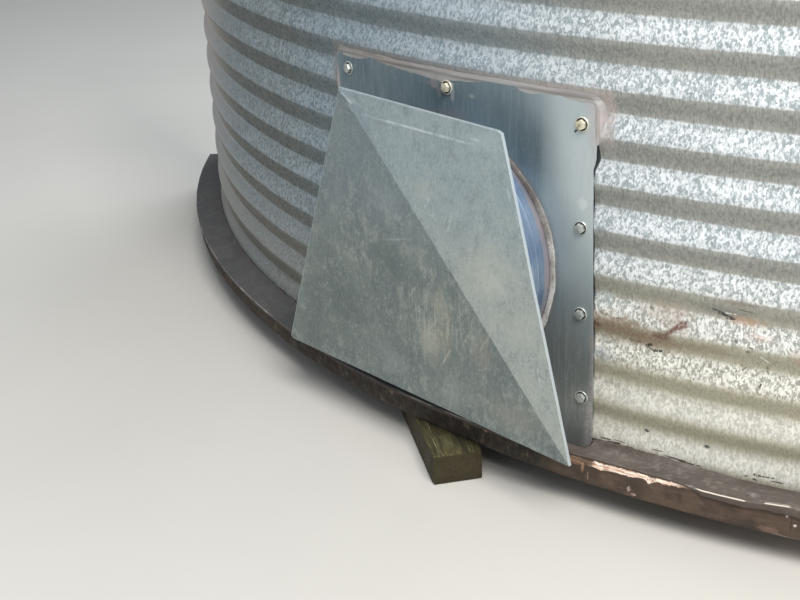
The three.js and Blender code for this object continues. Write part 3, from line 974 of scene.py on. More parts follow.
# %% Make the seals on the plate's edge
TOP_COVER = ((-394, 12), (-336, 13), (-262, 11), (-215, 9), (-150, 14), (-82, 17), (-20, 22),
             (10, 14), (97, 9), (205, 15), (256, 9), (304, 8), (352, 13), (394, 11))
RIGHT_FOOT, LEFT_FOOT = FOOT + 690 * MM, FOOT + 600 * MM
FLAT_HALF = PLATE_HALF - PLATE_CORNER

points = edge_points(1, -FLAT_HALF, FLAT_HALF, RIGHT_FOOT)
over_foot, sideways = points[:, 1] - RIGHT_FOOT, points[:, 2]
cover = look_up(TOP_COVER, points[:, 0] / MM) + 2 * drift(points[:, :2], 0.011, 9)
cover = cover * np.interp(over_foot, (0, 0.04), (0.2, 1)) * (1 - 0.45 * sideways)
spill = (8.5 + 4 * sideways) * np.interp(over_foot, (0, 0.05), (0.12, 1))
top_seal = edge_seal("seal_top_right", points, cover, spill, 0.6)
points = edge_points(-1, -FLAT_HALF - 1 * MM, -FLAT_HALF - 2 * MM, LEFT_FOOT)
points = points[SEAL_STEPS - 1:]
even = np.ones(len(points))
left_seal = edge_seal("seal_left", points, 5 * even, 11 * even, 1.4)

# %% [markdown]
# Old mastic is a dull pinkish tan. It was stroked on, level along the top and upright down the
# sides, so its streaks turn the corner. Its outer edge is dusty, and it goes paler where it
# thins out.

# %% Sealant material
s = Finish("sealant", Roughness=0.75)
height, azimuth = s.parts(s.place)["Z"], s.group("Round the silo")["Azimuth"]
level, upright = s.noise(0.005, (30, 30, 1), 4), s.noise(0.005, (1, 1, 30), 4)
cloudy = s.noise(0.04, detail=5)
beside = s.fade(height, PLATE_TOP - 0.012, PLATE_TOP - 0.03)
streaks = s.blend(beside, level, upright)
right_side = s.fade(azimuth, -6, 6)
s.colour = s.mix(s.fade(streaks, 0.35, 0.65), s.mix(right_side, "777470", "807d7a"),
                 s.mix(right_side, "8d8b88", "959493"))
edge = s.plus(height, s.times(s.minus(cloudy, 0.5), 0.02))
s.coat("8d8f8b", s.fade(edge, PLATE_TOP + 0.004, PLATE_TOP + 0.015), 0.8)
s.coat("b9b9b6", s.fade(height, PLATE_TOP - 0.003, PLATE_TOP - 0.009), 0.55)
s.coat(s.mix(s.fade(upright, 0.3, 0.7), "9c9492", "c2bab9"), beside, 0.85)
s.coat("8f837b", s.fade(cloudy, 0.5, 0.7, 0.0, 0.35))
s.coat("9f9896", s.fade(azimuth, PLATE_SIDE + 0.04, PLATE_SIDE + 0.2),
       s.fade(upright, 0.3, 0.55, 0.2, 0.7))
s.coat("a6a8a6", s.fade(edge, PLATE_TOP - 0.07, PLATE_TOP - 0.1), 0.8)
s.done(Roughness=s.fade(streaks, 0.2, 0.8, 0.6, 0.8), Normal=s.bump(streaks, 0.12, 0.8))
place_piece(top_seal, s, ["plate_seal_top", "plate_seal_right"], crease=70)
place_piece(left_seal, s, ["plate_seal_left"], crease=70)

# %% [markdown]
# The bead round the collar is the same mastic in a thicker run. It has caught more dirt, so it
# is browner, and darkest in its upper part, where the hood doesn't keep the dirt off.

# %% Bead material
s = Finish("bead_mastic", Roughness=0.75)
cloudy, fine = s.noise(0.05, detail=5), s.noise(0.006, detail=4)
lower = s.fade(s.parts(s.place)["Z"], FOOT + 0.64, FOOT + 0.34)
s.colour = s.mix(s.fade(cloudy, 0.35, 0.65), s.mix(lower, "59524d", "98948e"),
                 s.mix(lower, "7b746d", "cbc8c2"))
s.coat("5f5853", s.fade(fine, 0.5, 0.7, 0.0, 0.5))
s.coat("a9a6a4", s.fade(fine, 0.42, 0.3, 0.0, 0.4))
s.done(Roughness=s.fade(fine, 0.2, 0.8, 0.6, 0.85), Normal=s.bump(fine, 0.6, 1.2))
place_piece(bead, s, ["duct_bead"], crease=70)

# %% [markdown]
# ## Plate bolts
#
# Flange bolts hold the plate, each a dished flange and a hexagon head with its corners turned
# off, on a rubber ring. All are turned shapes: a hexagon is one with six sides. Heads and
# rings are one piece each, because each shares one finish.

# %% Turn solids from profiles
FLANGE = ((15.8, -0.2), (16.4, 0.8), (16.2, 2.2), (15.4, 3.0), (14.6, 3.0), (13.9, 1.2))
RUBBER = ((13.7, 1.0), (13.7, 1.7), (12.8, 2.1), (12.0, 1.9))
HEXAGON = ((11.4, 1.5), (11.4, 8.2), (10.8, 9.2), (9.2, 9.8))


def add_turned(bm, matrix, profile, sides):
    """Adds a solid turned from radius and height steps in mm, with a number of sides."""
    turns = [2 * math.pi * i / sides for i in range(sides)]
    rings = [[bm.verts.new(matrix @ (MM * Vector((radius * math.cos(t), radius * math.sin(t),
                                                  height)))) for t in turns]
             for radius, height in profile]
    for lower, upper in zip(rings, rings[1:]):
        for i, j in zip(range(sides), (*range(1, sides), 0)):
            bm.faces.new((lower[i], lower[j], upper[j], upper[i]))
    bm.faces.new(rings[0][::-1])
    bm.faces.new(rings[-1])


# %% [markdown]
# Every bolt gets a place matrix: its foot on the plate's face, its axis square to the wall but
# for a small lean, and a twist of its own. The same solids are then added at each place.

# %% Make the bolts
def bolt_places():
    """Matrix of each bolt: its foot on the plate, its Z axis pointing out of the wall."""
    for number, (right, up) in enumerate(BOLTS):
        turn = right * MM / CREST
        spot = Vector(around(math.degrees(turn), PLATE_FACE, FOOT + up * MM))
        outward = Vector((math.sin(turn), -math.cos(turn), 0))
        lean = Matrix.Rotation(0.05 * math.sin(5 * number), 4, "X")
        twist = Matrix.Rotation(1.3 * number, 4, "Z")
        facing = outward.to_track_quat("Z", "Y").to_matrix().to_4x4()
        yield Matrix.Translation(spot) @ facing @ lean @ twist


def bolt_parts(name, *profiles):
    """One object with the same turned solids at every bolt's place."""
    bm = bmesh.new()
    for matrix in bolt_places():
        for profile, sides in profiles:
            add_turned(bm, matrix, profile, sides)
    bmesh.ops.recalc_face_normals(bm, faces=bm.faces)
    mesh = bpy.data.meshes.new(name)
    bm.to_mesh(mesh)
    bm.free()
    return new_object(name, mesh)


bolts = bolt_parts("plate_bolts", (FLANGE, 40), (HEXAGON, 6))
rubbers = bolt_parts("bolt_washers", (RUBBER, 40))

# %% [markdown]
# The bolts are passivated zinc. The upper right ones keep a yellow cast, the others are grey.
# Dust has settled on the rubber.

# %% Bolt material
s = Finish("bolt_zinc", Metallic=0.55, Roughness=0.38)
x, _, height = s.parts(s.place)
cloudy = s.noise(0.014, detail=4)
yellow = s.times(s.fade(height, FOOT + 0.5, FOOT + 0.7),
                 s.fade(x, SILO_AXIS.x - 0.3, SILO_AXIS.x - 0.1), s.fade(cloudy, 0.25, 0.5))
s.colour = s.mix(yellow, "b6bcb8", "e6dfc4")
s.coat("6a6558", s.fade(cloudy, 0.56, 0.72, 0.0, 0.6))
s.coat("f0efe6", s.group("Worn edges", Grain=0.004)["Mask"])
s.done(Roughness=s.fade(cloudy, 0.2, 0.8, 0.3, 0.55))
place_piece(bolts, s, crease=30)
s = Finish("bolt_rubber", Roughness=0.8)
pale_share = s.noise(0.006, detail=4)
s.colour = s.mix(s.fade(pale_share, 0.35, 0.65), "26282a", "4b4a46")
s.done(Roughness=s.fade(pale_share, 0.3, 0.7, 0.65, 0.9))
place_piece(rubbers, s, crease=30)

# %% [markdown]
# ## Folded hood
#
# The hood is one four-sided sheet with a fold from its top left to its bottom right corner.
# A square grid has such a line in it already: its diagonal. Each triangle of the square is
# stretched flat over its half of the hood, so the fold is sharp and both halves are even.

# %% Stretch a grid over the hood's two halves
HOOD_CORNERS = {"top_left": (-241, 112, 747), "top_right": (228, 86, 719),
                "bottom_right": (460, 137, 22), "bottom_left": (-492, 112, 29)}
HOOD_CELLS = 150

top_left, top_right, bottom_right, bottom_left = map(np.array, HOOD_CORNERS.values())
steps = np.linspace(0, 1, HOOD_CELLS + 1)
u, v = np.meshgrid(steps, steps)
u, v = u[..., None], v[..., None]
lower = bottom_left + u * (bottom_right - bottom_left) + v * (top_left - bottom_left)
upper = top_right + (1 - u) * (top_left - top_right) + (1 - v) * (bottom_right - top_right)
hood_grid = np.where(u + v <= 1, lower, upper)
foot_width = np.linalg.norm(bottom_right - bottom_left)
print("hood cells are about", round(foot_width / HOOD_CELLS, 1), "mm wide at the foot")

# %% [markdown]
# Then the sheet gets what handling gave it: a slow waviness, two creases in its crumpled top
# left corner, and faint press lines under its top edge. Each is a low ridge between two points.

# %% Make the hood
PRESS_LINES = ((-173, 113, 696, 170, 93, 679), (145, 92, 692, 176, 91, 691))
CREASES = ((-236, 113, 739, -195, 112, 715), (-211, 113, 715, -194, 114, 695))


def ridge(points, line, width, height):
    """A low ridge along a line, in mm as seen from outside."""
    start, end = np.array(line[0:3:2], float), np.array(line[3:6:2], float)
    along = end - start
    t = np.clip(((points - start) @ along) / (along @ along), 0, 1)[..., None]
    return height * bell(np.linalg.norm(points - start - t * along, axis=-1), width)


spots = hood_grid[..., [0, 2]]
press = 1.1 * drift(spots, 230, 4) + 0.5 * drift(spots, 70, 6)
for line in CREASES:
    press += ridge(spots, line, 6, 1.2)
for line in PRESS_LINES:
    press += ridge(spots, line, 7, 0.4)
hood_grid[..., 1] += press
points = np.array([seen(*p) for p in hood_grid.reshape(-1, 3)])
hood = sheet("hood_sheet", points.reshape(hood_grid.shape))

# %% [markdown]
# The grid's squares on the fold have their own diagonal laid along it. The top right corner is
# snipped, the bottom left one is rounded, and a lip is turned back all round. Extruding the
# outer edges towards the wall makes the lip, and a small bevel rounds the bend.

# %% Trim the hood and turn its lip
HOOD_LIP = 8 * MM
SNIPS = (("top_right", (207, 90, 668), 3), ("bottom_left", (-465, 112, 55), 7),
         ("bottom_left", (-478, 112, 66), 4), ("bottom_left", (-452, 112, 40), 4))

bm = bmesh.new()
bm.from_mesh(hood.data)
bm.verts.ensure_lookup_table()
fold = [bm.verts[i * len(steps) + HOOD_CELLS - i] for i in range(len(steps))]
for one, other in zip(fold, fold[1:]):
    for f in [f for f in one.link_faces if f in other.link_faces]:
        bmesh.utils.face_split(f, one, other)
for name, toward, setback in SNIPS:
    corner = seen(*HOOD_CORNERS[name])
    way = (seen(*toward) - corner).normalized()
    geometry = bm.verts[:] + bm.edges[:] + bm.faces[:]
    bmesh.ops.bisect_plane(bm, geom=geometry, plane_co=corner + way * setback * MM,
                           plane_no=-way, clear_outer=True)
edges = [e for e in bm.edges if e.is_boundary]
made = bmesh.ops.extrude_edge_only(bm, edges=edges)["geom"]
for vert in (g for g in made if isinstance(g, bmesh.types.BMVert)):
    vert.co.y += HOOD_LIP
bmesh.ops.recalc_face_normals(bm, faces=bm.faces)
bm.to_mesh(hood.data)
bm.free()
if hood.data.polygons[0].normal.y > 0:
    hood.data.flip_normals()
thicken(hood, rounding=0.9 * MM)

# %% [markdown]
# Outdoors this zinc has gone matt and grey-green. Rain has drawn fine pale upright marks over
# large soft blotches. The half that leans back faces the sky more and is painted lighter, a
# painted reflection of the sky. The two halves are told apart by how far they face up.

# %% Hood material: zinc with a painted sky reflection
s = Finish("hood_steel", Metallic=0.25, Roughness=0.5)
runs = s.group("Run marks", Width=0.007, Length=0.05)["Mark"]
threads = s.group("Run marks", Width=0.0024, Length=0.028)["Mark"]
blotch = s.noise(0.11, (1, 1, 1.3), 5, 0.55)
mottle = s.noise(0.035, (1, 1, 1.3), 7, 0.68)
specks = s.noise(0.008, (1, 1, 1.6), 4, 0.7)
fine = s.noise(0.0035, (1, 1, 2.2), 3, 0.6)
x, _, height = s.parts(s.place)
sideways, outward, upward = s.parts(s.normal())
# The half that faces up is painted lighter: a painted reflection of the sky.
sky_reflection = s.fade(upward, 0.035, 0.06)
s.colour = s.mix(s.fade(blotch, 0.35, 0.65), "657070", "747e7a")
s.coat("7d8b93", s.fade(height, FOOT + 0.3, FOOT + 0.58, 0.0, 0.6))
sky_reflection_tone = s.mix(s.fade(height, FOOT + 0.3, FOOT + 0.6), "a5aba6", "96a4a8")
left = s.fade(s.minus(x, SILO_AXIS.x), -0.02, -0.2, 0.0, 0.5)
s.coat(s.mix(left, sky_reflection_tone, "86949c"), sky_reflection, 0.9)
s.coat("aeb6b3", runs, 0.07)
scuffed = (s.minus(1.0, sky_reflection), s.fade(threads, 0.45, 0.95))
coat_patches(s, ((60, 240, 230, 150, 0.5, "b9bcae"), (-190, 420, 120, 90, 0.15, "b9bcae")),
             60, 0.5, 0.8, scuffed)
s.coat("c6cecb", s.fade(threads, 0.5, 0.95), 0.05)
s.coat("b3b8ae", s.fade(mottle, 0.5, 0.66, 0.0, 0.36),
       s.fade(height, FOOT + 0.62, FOOT + 0.42, 0.3, 1.0))
s.coat("667272", s.fade(mottle, 0.5, 0.35, 0.0, 0.34))
s.coat("c0c7c1", s.fade(specks, 0.52, 0.66, 0.0, 0.22))
s.coat("6b787b", s.fade(specks, 0.47, 0.36, 0.0, 0.12))
s.coat("bcc4c3", s.fade(fine, 0.5, 0.68, 0.0, 0.2))
s.coat("5d6a6c", s.fade(fine, 0.5, 0.32, 0.0, 0.2))

# %% [markdown]
# Large soft patches are where the sheet was wetted, wiped or leant on. Pale lines are
# scratches. Both are places on the hood as seen from outside, in mm.

# %% Hood material: patches and scratches
HOOD_PATCHES = (
    (50, 190, 70, 95, 0.3, "b3ac96"), (75, 300, 50, 60, 0.3, "b9b6a2"),
    (95, 225, 50, 80, 0.22, "b0a488"), (205, 215, 60, 70, 0.3, "a79c8c"),
    (130, 130, 120, 80, 0.1, "837b70"), (300, 90, 150, 70, 0.4, "938f85"),
    (235, 400, 75, 75, 0.4, "bcc2b7"), (290, 300, 80, 60, 0.3, "bcc1b6"),
    (-90, 500, 70, 60, 0.35, "98a4a5"), (185, 690, 70, 40, 0.35, "b3c0c4"),
    (-240, 190, 130, 90, 0.25, "59645f"), (-92, 92, 95, 60, 0.2, "b4bbb8"),
    (125, 80, 80, 60, 0.22, "b2b5ae"), (35, 190, 60, 85, 0.2, "c6c8bd"),
    (-400, 80, 80, 60, 0.3, "58625d"), (28, 555, 62, 40, 0.3, "b4b8ac"),
    (-95, 372, 85, 52, 0.55, "5a6664"), (-40, 330, 120, 40, 0.4, "5f6b68"),
    (105, 478, 60, 50, 0.25, "84908e"), (190, 405, 80, 90, 0.25, "bcbeb0"),
    (-350, 140, 170, 150, 0.3, "5c6866"), (-190, 620, 70, 110, 0.25, "768894"))
SCRATCHES = {
    "c6d2d5": ((251, 95, 609, 268, 98, 560), (273, 97, 568, 289, 101, 520),
               (107, 111, 525, 95, 118, 465), (42, 114, 543, 27, 118, 513),
               (-169, 119, 626, -131, 122, 569), (360, 124, 226, 374, 128, 175)),
    "c2c1b1": ((8, 122, 329, -27, 122, 280), (69, 125, 259, 29, 124, 207),
               (173, 127, 262, 142, 127, 204), (-55, 122, 232, -71, 122, 186),
               (111, 126, 194, 71, 126, 130), (243, 129, 284, 196, 128, 212)),
    "a9b4b3": ((-177, 117, 358, -193, 117, 324), (-257, 115, 327, -289, 115, 287),
               (48, 123, 388, 52, 123, 332), (-311, 115, 197, -346, 115, 143),
               (-113, 118, 404, -8, 121, 431))}
SCRATCH_WIDTH = 4
print(len(HOOD_PATCHES), "patches and", sum(map(len, SCRATCHES.values())), "scratches")

# %% [markdown]
# All of them are laid over the zinc, the scratches broken up by specks so that they come
# and go. The press lines and creases are also painted pale, a painted highlight along their
# ridges. Last come the lip, which is told by its normal and gets a painted highlight, brighter
# where it faces right, and bright worn edges.

# %% Hood material: lay the marks down
def coat_lines(lines, paint, mask):
    """Lays straight marks over the hood, each two points as seen from outside."""
    for line in lines:
        s.coat(paint, s.line(seen(*line[:3]), seen(*line[3:]), SCRATCH_WIDTH), mask)


coat_patches(s, HOOD_PATCHES, 45, 0.6, 0.7)
# The press lines and creases are painted pale along their length: a painted highlight on their
# ridges.
coat_lines(PRESS_LINES + CREASES, "d3dee1", s.fade(mottle, 0.42, 0.56, 0.2, 0.55))
for paint, lines in SCRATCHES.items():
    coat_lines(lines, paint, s.fade(specks, 0.4, 0.55, 0.05, 0.38))
# The lip is painted pale: a painted highlight, brighter where it faces right, towards the lamp.
lip_highlight = s.fade(s.math("ABSOLUTE", outward), 0.8, 0.5)
s.coat("d5dfe8", lip_highlight, s.fade(sideways, 0.3, 0.7, 0.2, 0.45))
s.coat("dfe8ec", s.group("Worn edges", Grain=0.03)["Mask"], 0.45)
s.done(Roughness=s.fade(mottle, 0.3, 0.7, 0.42, 0.6), Normal=s.bump(mottle, 0.25, 0.6))
place_piece(hood, s, ["hood"], crease=35)

# %% [markdown]
# ## Timber deck rim
#
# The silo stands on a timber deck cut to a circle, and its rim sticks out past the sheet. Old
# timber has warped: its outer edge is lower on the left and higher on the right. Its inner edge
# is cut down behind the vent plate, which hangs over it.

# %% Say what changes along the rim
DECK_BOTTOM, DECK_TOP = (corner.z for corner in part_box("deck_1"))
DECK_INNER, DECK_OUTER = 2580 * MM, 2833.5 * MM
FELT_INNER, FELT_OUTER = 2752.5 * MM, 2840 * MM
RIM_DEGREE = 48.0
REBATE, REBATE_REACH = 24 * MM, 38 * MM
CHEWED = ((7.2, 0), (7.9, 9), (9.1, 10), (9.6, 11), (10.6, 9.5), (11.6, 7.5), (12.6, 5.5),
          (13.3, 3.5), (13.9, 2), (14.4, 0))
WARP = ((-48, -7), (-12, -7), (9, -2), (12, 6), (16.5, 7.5), (17.2, 14), (18, 17.5),
        (18.5, 14.5), (24, 12))


def between(value, start, end, soft):
    """1 between start and end, falling to 0 over a soft distance outside them."""
    rise = np.clip((value - start) / soft + 1, 0, 1)
    fall = np.clip((end - value) / soft + 1, 0, 1)
    return rise * fall


def wobble(azimuth, size, seed):
    """Smooth noise along the rim, with features about size degrees long."""
    return float(drift(stacked(azimuth, 0.0), size, seed))


def warped(azimuth, outline):
    """Moves the upper points of an outline of radius and height as the old rim has moved."""
    radius, height = outline[:, 0], outline[:, 1]
    outward = np.clip((radius - FELT_INNER) / (FELT_OUTER - FELT_INNER), 0, 1)
    upward = np.clip((height - DECK_BOTTOM) / (DECK_TOP - DECK_BOTTOM), 0, 1)
    rise = look_up(WARP, azimuth) * MM * outward
    dip = np.clip((FELT_INNER + REBATE_REACH - radius) / (REBATE_REACH - 2 * MM), 0, 1)
    dip = REBATE * dip * (radius > FELT_INNER - 2.4 * MM)
    dip = dip * between(azimuth, -PLATE_SIDE, PLATE_SIDE, 0.35)
    return radius, height + (rise - dip) * upward


# %% [markdown]
# An outline of radius and height is swept round the silo. The steps are four times closer
# along the stretch where the rim is chewed away.

# %% Sweep an outline along the rim
CHEWED_STRETCH = (7, 15)


def swept(name, outline_at, step):
    """A solid along the rim; outline_at gives its outline at an azimuth, step in degrees."""
    low, high = BAY_ENDS[0] + 0.004, BAY_ENDS[1] - 0.004
    start, end = CHEWED_STRETCH
    azimuths = np.concatenate([np.arange(low, start, step), np.arange(start, end, step / 4),
                               np.arange(end, high, step), [high]])
    return strip(name, [around(azimuth, *warped(azimuth, np.array(outline_at(azimuth))))
                        for azimuth in azimuths])


# %% [markdown]
# The rim's face is a little uneven and its lower edge is bruised. Its upper edge is chipped,
# and right of the vent it is chewed away to a splintered slope. All of it comes from noise,
# deeper where the table says so.

# %% Make the deck rim
FIBRE = 26


def rim_outline(azimuth):
    """Outline of the rim: its foot, its face upwards, the broken edge and its top inwards."""
    chip = max(0.0, wobble(azimuth, 0.35, 1) - 0.25) * 14
    bruise = 2.5 + 3.0 * max(0.0, wobble(azimuth, 0.9, 8))
    chewed = float(look_up(CHEWED, azimuth))
    chew = 2.0 + chip + chewed * (0.8 + 0.25 * wobble(azimuth, 0.3, 9))
    levels = np.linspace(DECK_BOTTOM + bruise * MM, DECK_TOP - chew * MM, 9)
    spots = stacked(azimuth * RIM_DEGREE, levels / MM)
    swell = np.minimum(0.9 * drift(spots, 45, 3) + 0.5 * drift(spots, 12, 7), 1.0)
    face = zip(DECK_OUTER + (swell - 1) * MM, levels)
    slope = np.linspace(0.12, 1, 7)
    fibres = stacked(azimuth * RIM_DEGREE / FIBRE, slope * 5)
    splinter = (0.05 + 0.22 * chewed) * drift(fibres, 1.0, 4) * (slope < 1)
    edge = zip(DECK_OUTER - (1.3 * chew * slope + 1 + splinter) * MM,
               DECK_TOP - chew * (1 - slope) * MM)
    top = [*np.linspace(FELT_INNER + 40 * MM, FELT_INNER - 2.2 * MM, 6),
           FELT_INNER - 2.6 * MM, DECK_INNER]
    return [(DECK_INNER, DECK_BOTTOM), (DECK_OUTER - bruise * MM, DECK_BOTTOM), *face, *edge,
            *((radius, DECK_TOP) for radius in top)]


deck = swept("deck_rim", rim_outline, 0.14)

# %% [markdown]
# The rim has been painted with bitumen that has worn to a purplish brown. Under the hood and to
# its left it is crusted with soil and painted near black, which is also painted shade. The wood
# runs along the rim, so the grain's place is measured round the silo.

# %% Deck material: painted timber
s = Finish("deck_timber", Roughness=0.85)
round_silo = s.group("Round the silo")
azimuth = round_silo["Azimuth"]
wood = s.group("Timber grain", Along=round_silo["Along"], Fibre=0.002)
cloudy = s.noise(0.06, detail=5)
stains = s.noise(0.03, (1.6, 1, 1), 5, 0.65, round_silo["Along"])
inside = s.fade(s.parts(round_silo["Along"])["Y"], DECK_OUTER - 0.03, DECK_OUTER - 0.05)
s.colour = s.mix(s.fade(cloudy, 0.35, 0.65), "3d3128", "5a493c")
s.coat("776555", s.fade(wood["Grain"], 0.4, 0.7, 0.0, 0.35))
s.coat("261f1a", wood["Split"], 0.7)
s.coat("352b26", s.fade(stains, 0.52, 0.66, 0.0, 0.55))
s.coat("806961", s.fade(stains, 0.44, 0.32, 0.0, 0.35))
s.coat("6b5a49", inside, 0.8)
crust = s.noise(0.018, (1, 1, 1.5), 6, 0.7)
# Under the hood and further left, painted near black: partly soil, partly painted shade.
soil_and_shade = s.mix(s.fade(crust, 0.42, 0.56), "171510", "332e26")
soil_and_shade = s.mix(s.fade(crust, 0.56, 0.7, 0.0, 0.7), soil_and_shade, "7b6d5e")
s.coat(soil_and_shade, s.fade(azimuth, 7.6, 6.2), s.fade(azimuth, -14, -12, 0.75, 1), 0.85)

# %% [markdown]
# Where the upper edge is chewed away, wood shows: raw and orange in the fresh break, brown and
# rotten elsewhere. A few other chips are pale or dark. Each chip is an azimuth, a height in mm
# from the lowest crest, its reach along and up, its share and its colour.

# %% Deck material: broken edge and chips
CHIPS = (
    (9.02, -46, 2.2, 20, 0.8, "ad8b6c"), (8.6, -44, 22, 24, 0.5, "2f261f"),
    (8.3, -24, 24, 7, 0.6, "8a6a50"), (8.75, -32, 5, 16, 0.6, "b08c6a"),
    (11.05, -52, 5, 8, 0.75, "e0d0c6"), (11.3, -62, 8, 4, 0.7, "cdb3a6"),
    (11.1, -58, 14, 13, 0.5, "5d4438"), (18.0, -20, 3, 4, 0.9, "e3d8cc"),
    (18.35, -38, 4, 4, 0.9, "e3d8cc"), (18.2, -36, 2, 26, 0.7, "2a2420"),
    (17.3, -62, 26, 9, 0.4, "8a6f64"), (3.4, -22, 8, 7, 0.8, "a58b70"),
    (-3.0, -28, 10, 9, 0.7, "8f7355"))

upward = s.parts(s.normal())["Z"]
uneven = s.times(s.minus(s.noise(0.012, detail=4, roughness=0.65), 0.5), 0.9)
stretch = s.times(s.fade(azimuth, 7.0, 7.6), s.fade(azimuth, 14.6, 14.2))
broken = s.times(s.fade(s.plus(upward, uneven), 0.2, 0.4), stretch, s.minus(1.0, inside))
fresh = s.times(s.fade(azimuth, 9.05, 9.4), s.fade(azimuth, 13.7, 13.0, 0.25, 1.0))
fibre = s.fade(wood["Grain"], 0.42, 0.58)
s.coat(s.mix(fresh, s.mix(fibre, "3c2c22", "77604d"), s.mix(fibre, "a67656", "fcecdc")), broken)
for azimuth_at, up, wide, high, share, paint in CHIPS:
    middle = around(azimuth_at, DECK_OUTER, FOOT + up * MM)
    s.coat(paint, s.patch(middle, (wide, wide, high), 5, 1.2, 0.4), share)
s.coat("c4b3a6", s.fade(upward, -0.15, -0.5), s.fade(azimuth, 17.3, 17.8), 0.7)
s.done(Roughness=s.fade(cloudy, 0.3, 0.7, 0.7, 0.92), Normal=s.bump(wood["Grain"], 0.5, 1.5))
place_piece(deck, s, [f"deck_{i}" for i in range(1, 7)], crease=50)

# %% [markdown]
# ## Felt flashing
#
# Felt covers the rim, turned down over its edge and brushed up against the foot of the wall
# with bitumen, but not behind the vent plate, where it stops short. Its outline has three
# parts. The first is the lip, which has crumbled where the wood under it is chewed.

# %% Outline of the felt's underside and lip
FELT_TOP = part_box("flashing_1")[1].z
LIP_DROP = ((-48, 9), (13.5, 9), (14.5, 12), (16.5, 15), (18.2, 17), (24, 12))


def felt_lip(azimuth):
    """Radius of the felt's outer edge, and the outline from its inner edge round its lip."""
    chewed = float(look_up(CHEWED, azimuth))
    torn = min(1.0, chewed / 3)
    outer = FELT_OUTER - (1 + wobble(azimuth, 0.6, 5)) * 0.8 * MM
    retreat = DECK_OUTER - (0.85 * chewed + 2 + 2 * wobble(azimuth, 0.1, 4)) * MM
    outer = outer + (min(outer, retreat) - outer) * torn
    drop = look_up(LIP_DROP, azimuth) + 3.5 * wobble(azimuth, 0.7, 6)
    drop = drop + 2 * wobble(azimuth, 0.2, 7)
    lip_foot = FELT_TOP - (drop + (3.6 - drop) * torn) * MM
    lip_inner = min(max(DECK_OUTER + 0.3 * MM, outer - 4 * MM), outer - 1.5 * MM)
    low = DECK_TOP + 0.3 * MM
    under = np.linspace(FELT_INNER + 3 * MM, FELT_INNER + 40 * MM, 6)
    return outer, [*((radius, low) for radius in under),
                   (min(DECK_OUTER - 14 * MM, outer - 8 * MM), low),
                   (lip_inner, min(low, lip_foot + 3 * MM)), (lip_inner, lip_foot),
                   (outer, lip_foot), (outer, FELT_TOP - 3 * MM),
                   (outer - 0.8 * MM, FELT_TOP - 1 * MM), (outer - 2.6 * MM, FELT_TOP)]


# %% [markdown]
# The other two parts are the top, which is slightly hollow and has one lump over a knob in the
# wood, and the upstand at the wall, with a ragged upper edge. Bitumen fills the corner between
# them, more of it right beside the plate.

# %% Make the felt
UPSTAND = ((-48, 5), (8, 5), (9, 9), (11.2, 10), (13, 6), (14.6, 5), (15.6, 0.5), (24, 0.5))
KNOB_AZIMUTH, KNOB_RADIUS = 16.45, 2806


def felt_top(azimuth, outer):
    """Outline of the felt's top, from its outer edge inwards."""
    radii = np.linspace(outer - 5 * MM, FELT_INNER + 30 * MM, 11)
    spots = stacked(azimuth * RIM_DEGREE, radii / MM)
    hollow = np.sin(np.linspace(0, math.pi, len(radii))) * -1.2 - 0.3
    hollow = hollow + 0.7 * drift(spots, 60, 5) + 0.4 * drift(spots, 17, 3)
    lump = 5 * bell((azimuth - KNOB_AZIMUTH) * RIM_DEGREE, 9) * bell(radii / MM - KNOB_RADIUS, 9)
    return [*zip(radii, FELT_TOP + np.minimum(0.2, hollow) * MM + lump * MM)]


def felt_upstand(azimuth):
    """Outline of the corner at the wall and the felt's edge against it."""
    beside_plate = 1 - between(azimuth, -PLATE_SIDE - 0.1, PLATE_SIDE + 0.05, 0.15)
    ragged = look_up(UPSTAND, azimuth) + 2.5 * wobble(azimuth, 0.8, 1)
    ragged = ragged + 1.5 * wobble(azimuth, 0.17, 2)
    top_edge = FELT_TOP + max(0.4, beside_plate * ragged) * MM
    cove = 8 + 14 * between(azimuth, 8.3, 10.5, 2.0)
    against = back = FELT_INNER + 2 * MM
    if beside_plate:
        against = wall_radius(top_edge) + 0.9 * MM
        back = wall_radius(top_edge) + 0.1 * MM
    corner = [(FELT_INNER + share * cove * MM, FELT_TOP + rise * (top_edge - FELT_TOP))
              for share, rise in ((1.0, 0.12), (0.6, 0.4), (0.25, 0.75))]
    return corner + [(against, top_edge), (back, top_edge - 0.6 * MM),
                     (min(back + 2 * MM, FELT_INNER + 2.5 * MM), FELT_TOP - 1 * MM)]


def felt_outline(azimuth):
    outer, lip = felt_lip(azimuth)
    return lip + felt_top(azimuth, outer) + felt_upstand(azimuth)


felt = swept("felt_flashing", felt_outline, 0.1)

# %% [markdown]
# Bitumen felt is a soft purplish black that bleaches to grey in the sun, browner on the right.
# A brushed coat has left faint marks along the rim. In the corner at the wall dark bitumen lies,
# and the same dark band is also painted shade in the corner.

# %% Felt material: bleached bitumen
s = Finish("bitumen_felt", Roughness=0.85)
round_silo = s.group("Round the silo")
azimuth, radius = round_silo["Azimuth"], s.parts(round_silo["Along"])["Y"]
brushed = s.noise(0.012, (6, 1, 1), 4, place=round_silo["Along"])
cloudy, mottle = s.noise(0.12, detail=5), s.noise(0.022, detail=5, roughness=0.65)
fine = s.noise(0.0022)
right_side = s.fade(azimuth, -5, 10)
s.colour = s.mix(s.fade(cloudy, 0.3, 0.7), s.mix(right_side, "494949", "544c46"),
                 s.mix(right_side, "555554", "655c56"))
s.coat(s.mix(right_side, "646463", "7d7771"), s.fade(brushed, 0.45, 0.75, 0.0, 0.25))
s.coat("4d443e", s.fade(mottle, 0.5, 0.64, 0.0, 0.55))
s.coat("857d77", s.fade(mottle, 0.47, 0.36), s.fade(right_side, 0.0, 1.0, 0.1, 0.45))
s.coat("96928d", s.fade(fine, 0.6, 0.8, 0.0, 0.2))
